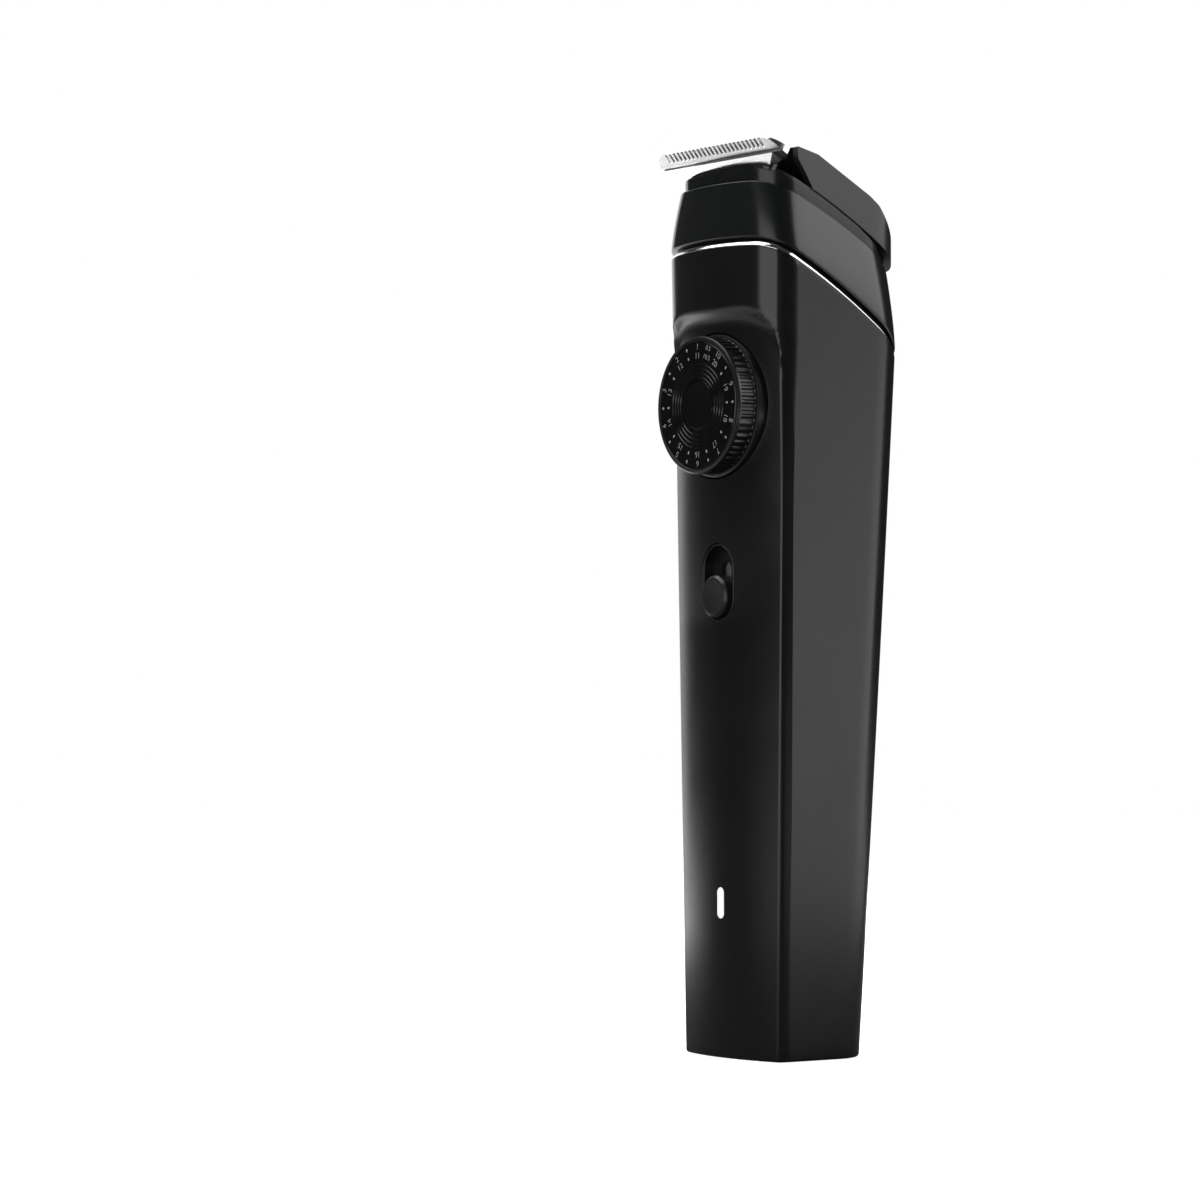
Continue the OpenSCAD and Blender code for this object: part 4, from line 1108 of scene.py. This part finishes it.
def makeFloor():
    floor = bmesh.new()
    bmesh.ops.create_circle(floor, cap_ends=True, segments=96, radius=stage["radius"])
    bmesh.ops.translate(floor, verts=floor.verts, vec=(0, 0, -stage["drop"]))  # clear of the foot's face
    piece = toObject(floor, "floor")
    material = bpy.data.materials.new("paleFloor")
    material.use_nodes = True
    shader = material.node_tree.nodes["Principled BSDF"]
    shader.inputs["Roughness"].default_value = 0.9
    shader.inputs["Specular IOR Level"].default_value = 0.0
    shader.inputs["Emission Color"].default_value = (1, 1, 1, 1)
    tree = material.node_tree
    seen = addNode(tree, "ShaderNodeLightPath").outputs["Is Camera Ray"]
    glow = rangeNode(tree, seen, 0, 1, stage["castGlow"], stage["seenGlow"])
    pale = rangeNode(tree, seen, 0, 1, stage["castPale"], stage["seenPale"])
    tree.links.new(glow, shader.inputs["Emission Strength"])
    tree.links.new(pale, shader.inputs["Base Color"])
    dress(piece, material)


def background(tree, strength):
    node = addNode(tree, "ShaderNodeBackground")
    node.inputs["Color"].default_value = (1, 1, 1, 1)
    node.inputs["Strength"].default_value = strength
    return node.outputs["Background"]


def makeWorld():
    world = bpy.data.worlds.new("studio")
    bpy.context.scene.world = world
    world.use_nodes = True
    tree = world.node_tree
    tree.nodes.clear()
    path = addNode(tree, "ShaderNodeLightPath")
    blend = addNode(tree, "ShaderNodeMixShader")
    sink = addNode(tree, "ShaderNodeOutputWorld")
    tree.links.new(path.outputs["Is Camera Ray"], blend.inputs["Fac"])
    tree.links.new(background(tree, stage["worldCast"]), blend.inputs[1])
    tree.links.new(background(tree, stage["worldSeen"]), blend.inputs[2])
    tree.links.new(blend.outputs["Shader"], sink.inputs["Surface"])


# azimuth turns from the front towards the right; aim is the height on the axis faced, so 50 is straight up
lights = [
    dict(name="frontStrip", azimuth=20, height=0.12, distance=0.9, width=0.95, tall=0.8, power=5, aim=0.09),
    dict(name="rightBox", azimuth=141, height=0.05, distance=0.9, width=0.72, tall=0.3, power=1.2, aim=0.09),
    dict(name="rightHigh", azimuth=141, height=0.55, distance=0.9, width=0.72, tall=0.6, power=4.8, aim=0.09),
    dict(name="leftRim", azimuth=-105, height=0.15, distance=0.9, width=0.7, tall=0.9, power=3.2, aim=0.09),
    dict(name="topBox", azimuth=-45, height=0.95, distance=0.45, width=1.0, tall=1.0, power=9, aim=0.09),
    dict(name="leftCard", azimuth=-105, height=0.002, distance=0.48, width=0.6, tall=0.9, power=4, aim=50),
    dict(name="frontCard", azimuth=20, height=0.002, distance=0.48, width=0.7, tall=0.9, power=4, aim=50),
    dict(name="rightCard", azimuth=141, height=0.002, distance=0.48, width=0.6, tall=0.9, power=2.8, aim=50),
    dict(name="bladeCard", azimuth=-83, height=0.08, distance=0.19, width=0.32, tall=0.26, power=.14, aim=50),
]


def makeLights():
    for light in lights:
        data = bpy.data.lights.new(light["name"], "AREA")
        data.shape = "RECTANGLE"
        data.size, data.size_y = light["width"], light["tall"]
        data.energy = light["power"]
        holder = bpy.data.objects.new(light["name"], data)
        a = math.radians(light["azimuth"])
        holder.location = (light["distance"] * math.sin(a), -light["distance"] * math.cos(a), light["height"])
        facing = Vector((0, 0, light["aim"])) - holder.location
        holder.rotation_euler = facing.to_track_quat("-Z", "Y").to_euler()
        holder.visible_camera = False
        bpy.context.scene.collection.objects.link(holder)


view = dict(azimuth=52.7, distance=0.766, height=0.0657, leftOfAxis=2.504, upwards=1.392, lens=123.5)


def makeCamera():
    a = math.radians(view["azimuth"])
    data = bpy.data.cameras.new("camera")
    data.sensor_width = 36
    data.lens = view["lens"]
    holder = bpy.data.objects.new("camera", data)
    holder.location = (view["distance"] * math.sin(a), -view["distance"] * math.cos(a), view["height"])
    aim = Vector((-math.sin(a), math.cos(a), 0))
    aim.rotate(Matrix.Rotation(math.radians(view["leftOfAxis"]), 3, "Z"))
    aim.z = math.tan(math.radians(view["upwards"]))
    holder.rotation_euler = aim.to_track_quat("-Z", "Y").to_euler()
    bpy.context.scene.collection.objects.link(holder)
    bpy.context.scene.camera = holder


makeFloor()
makeWorld()
makeLights()
makeCamera()
bpy.context.scene.view_settings.view_transform = "Standard"
print("stage, lights and camera set")
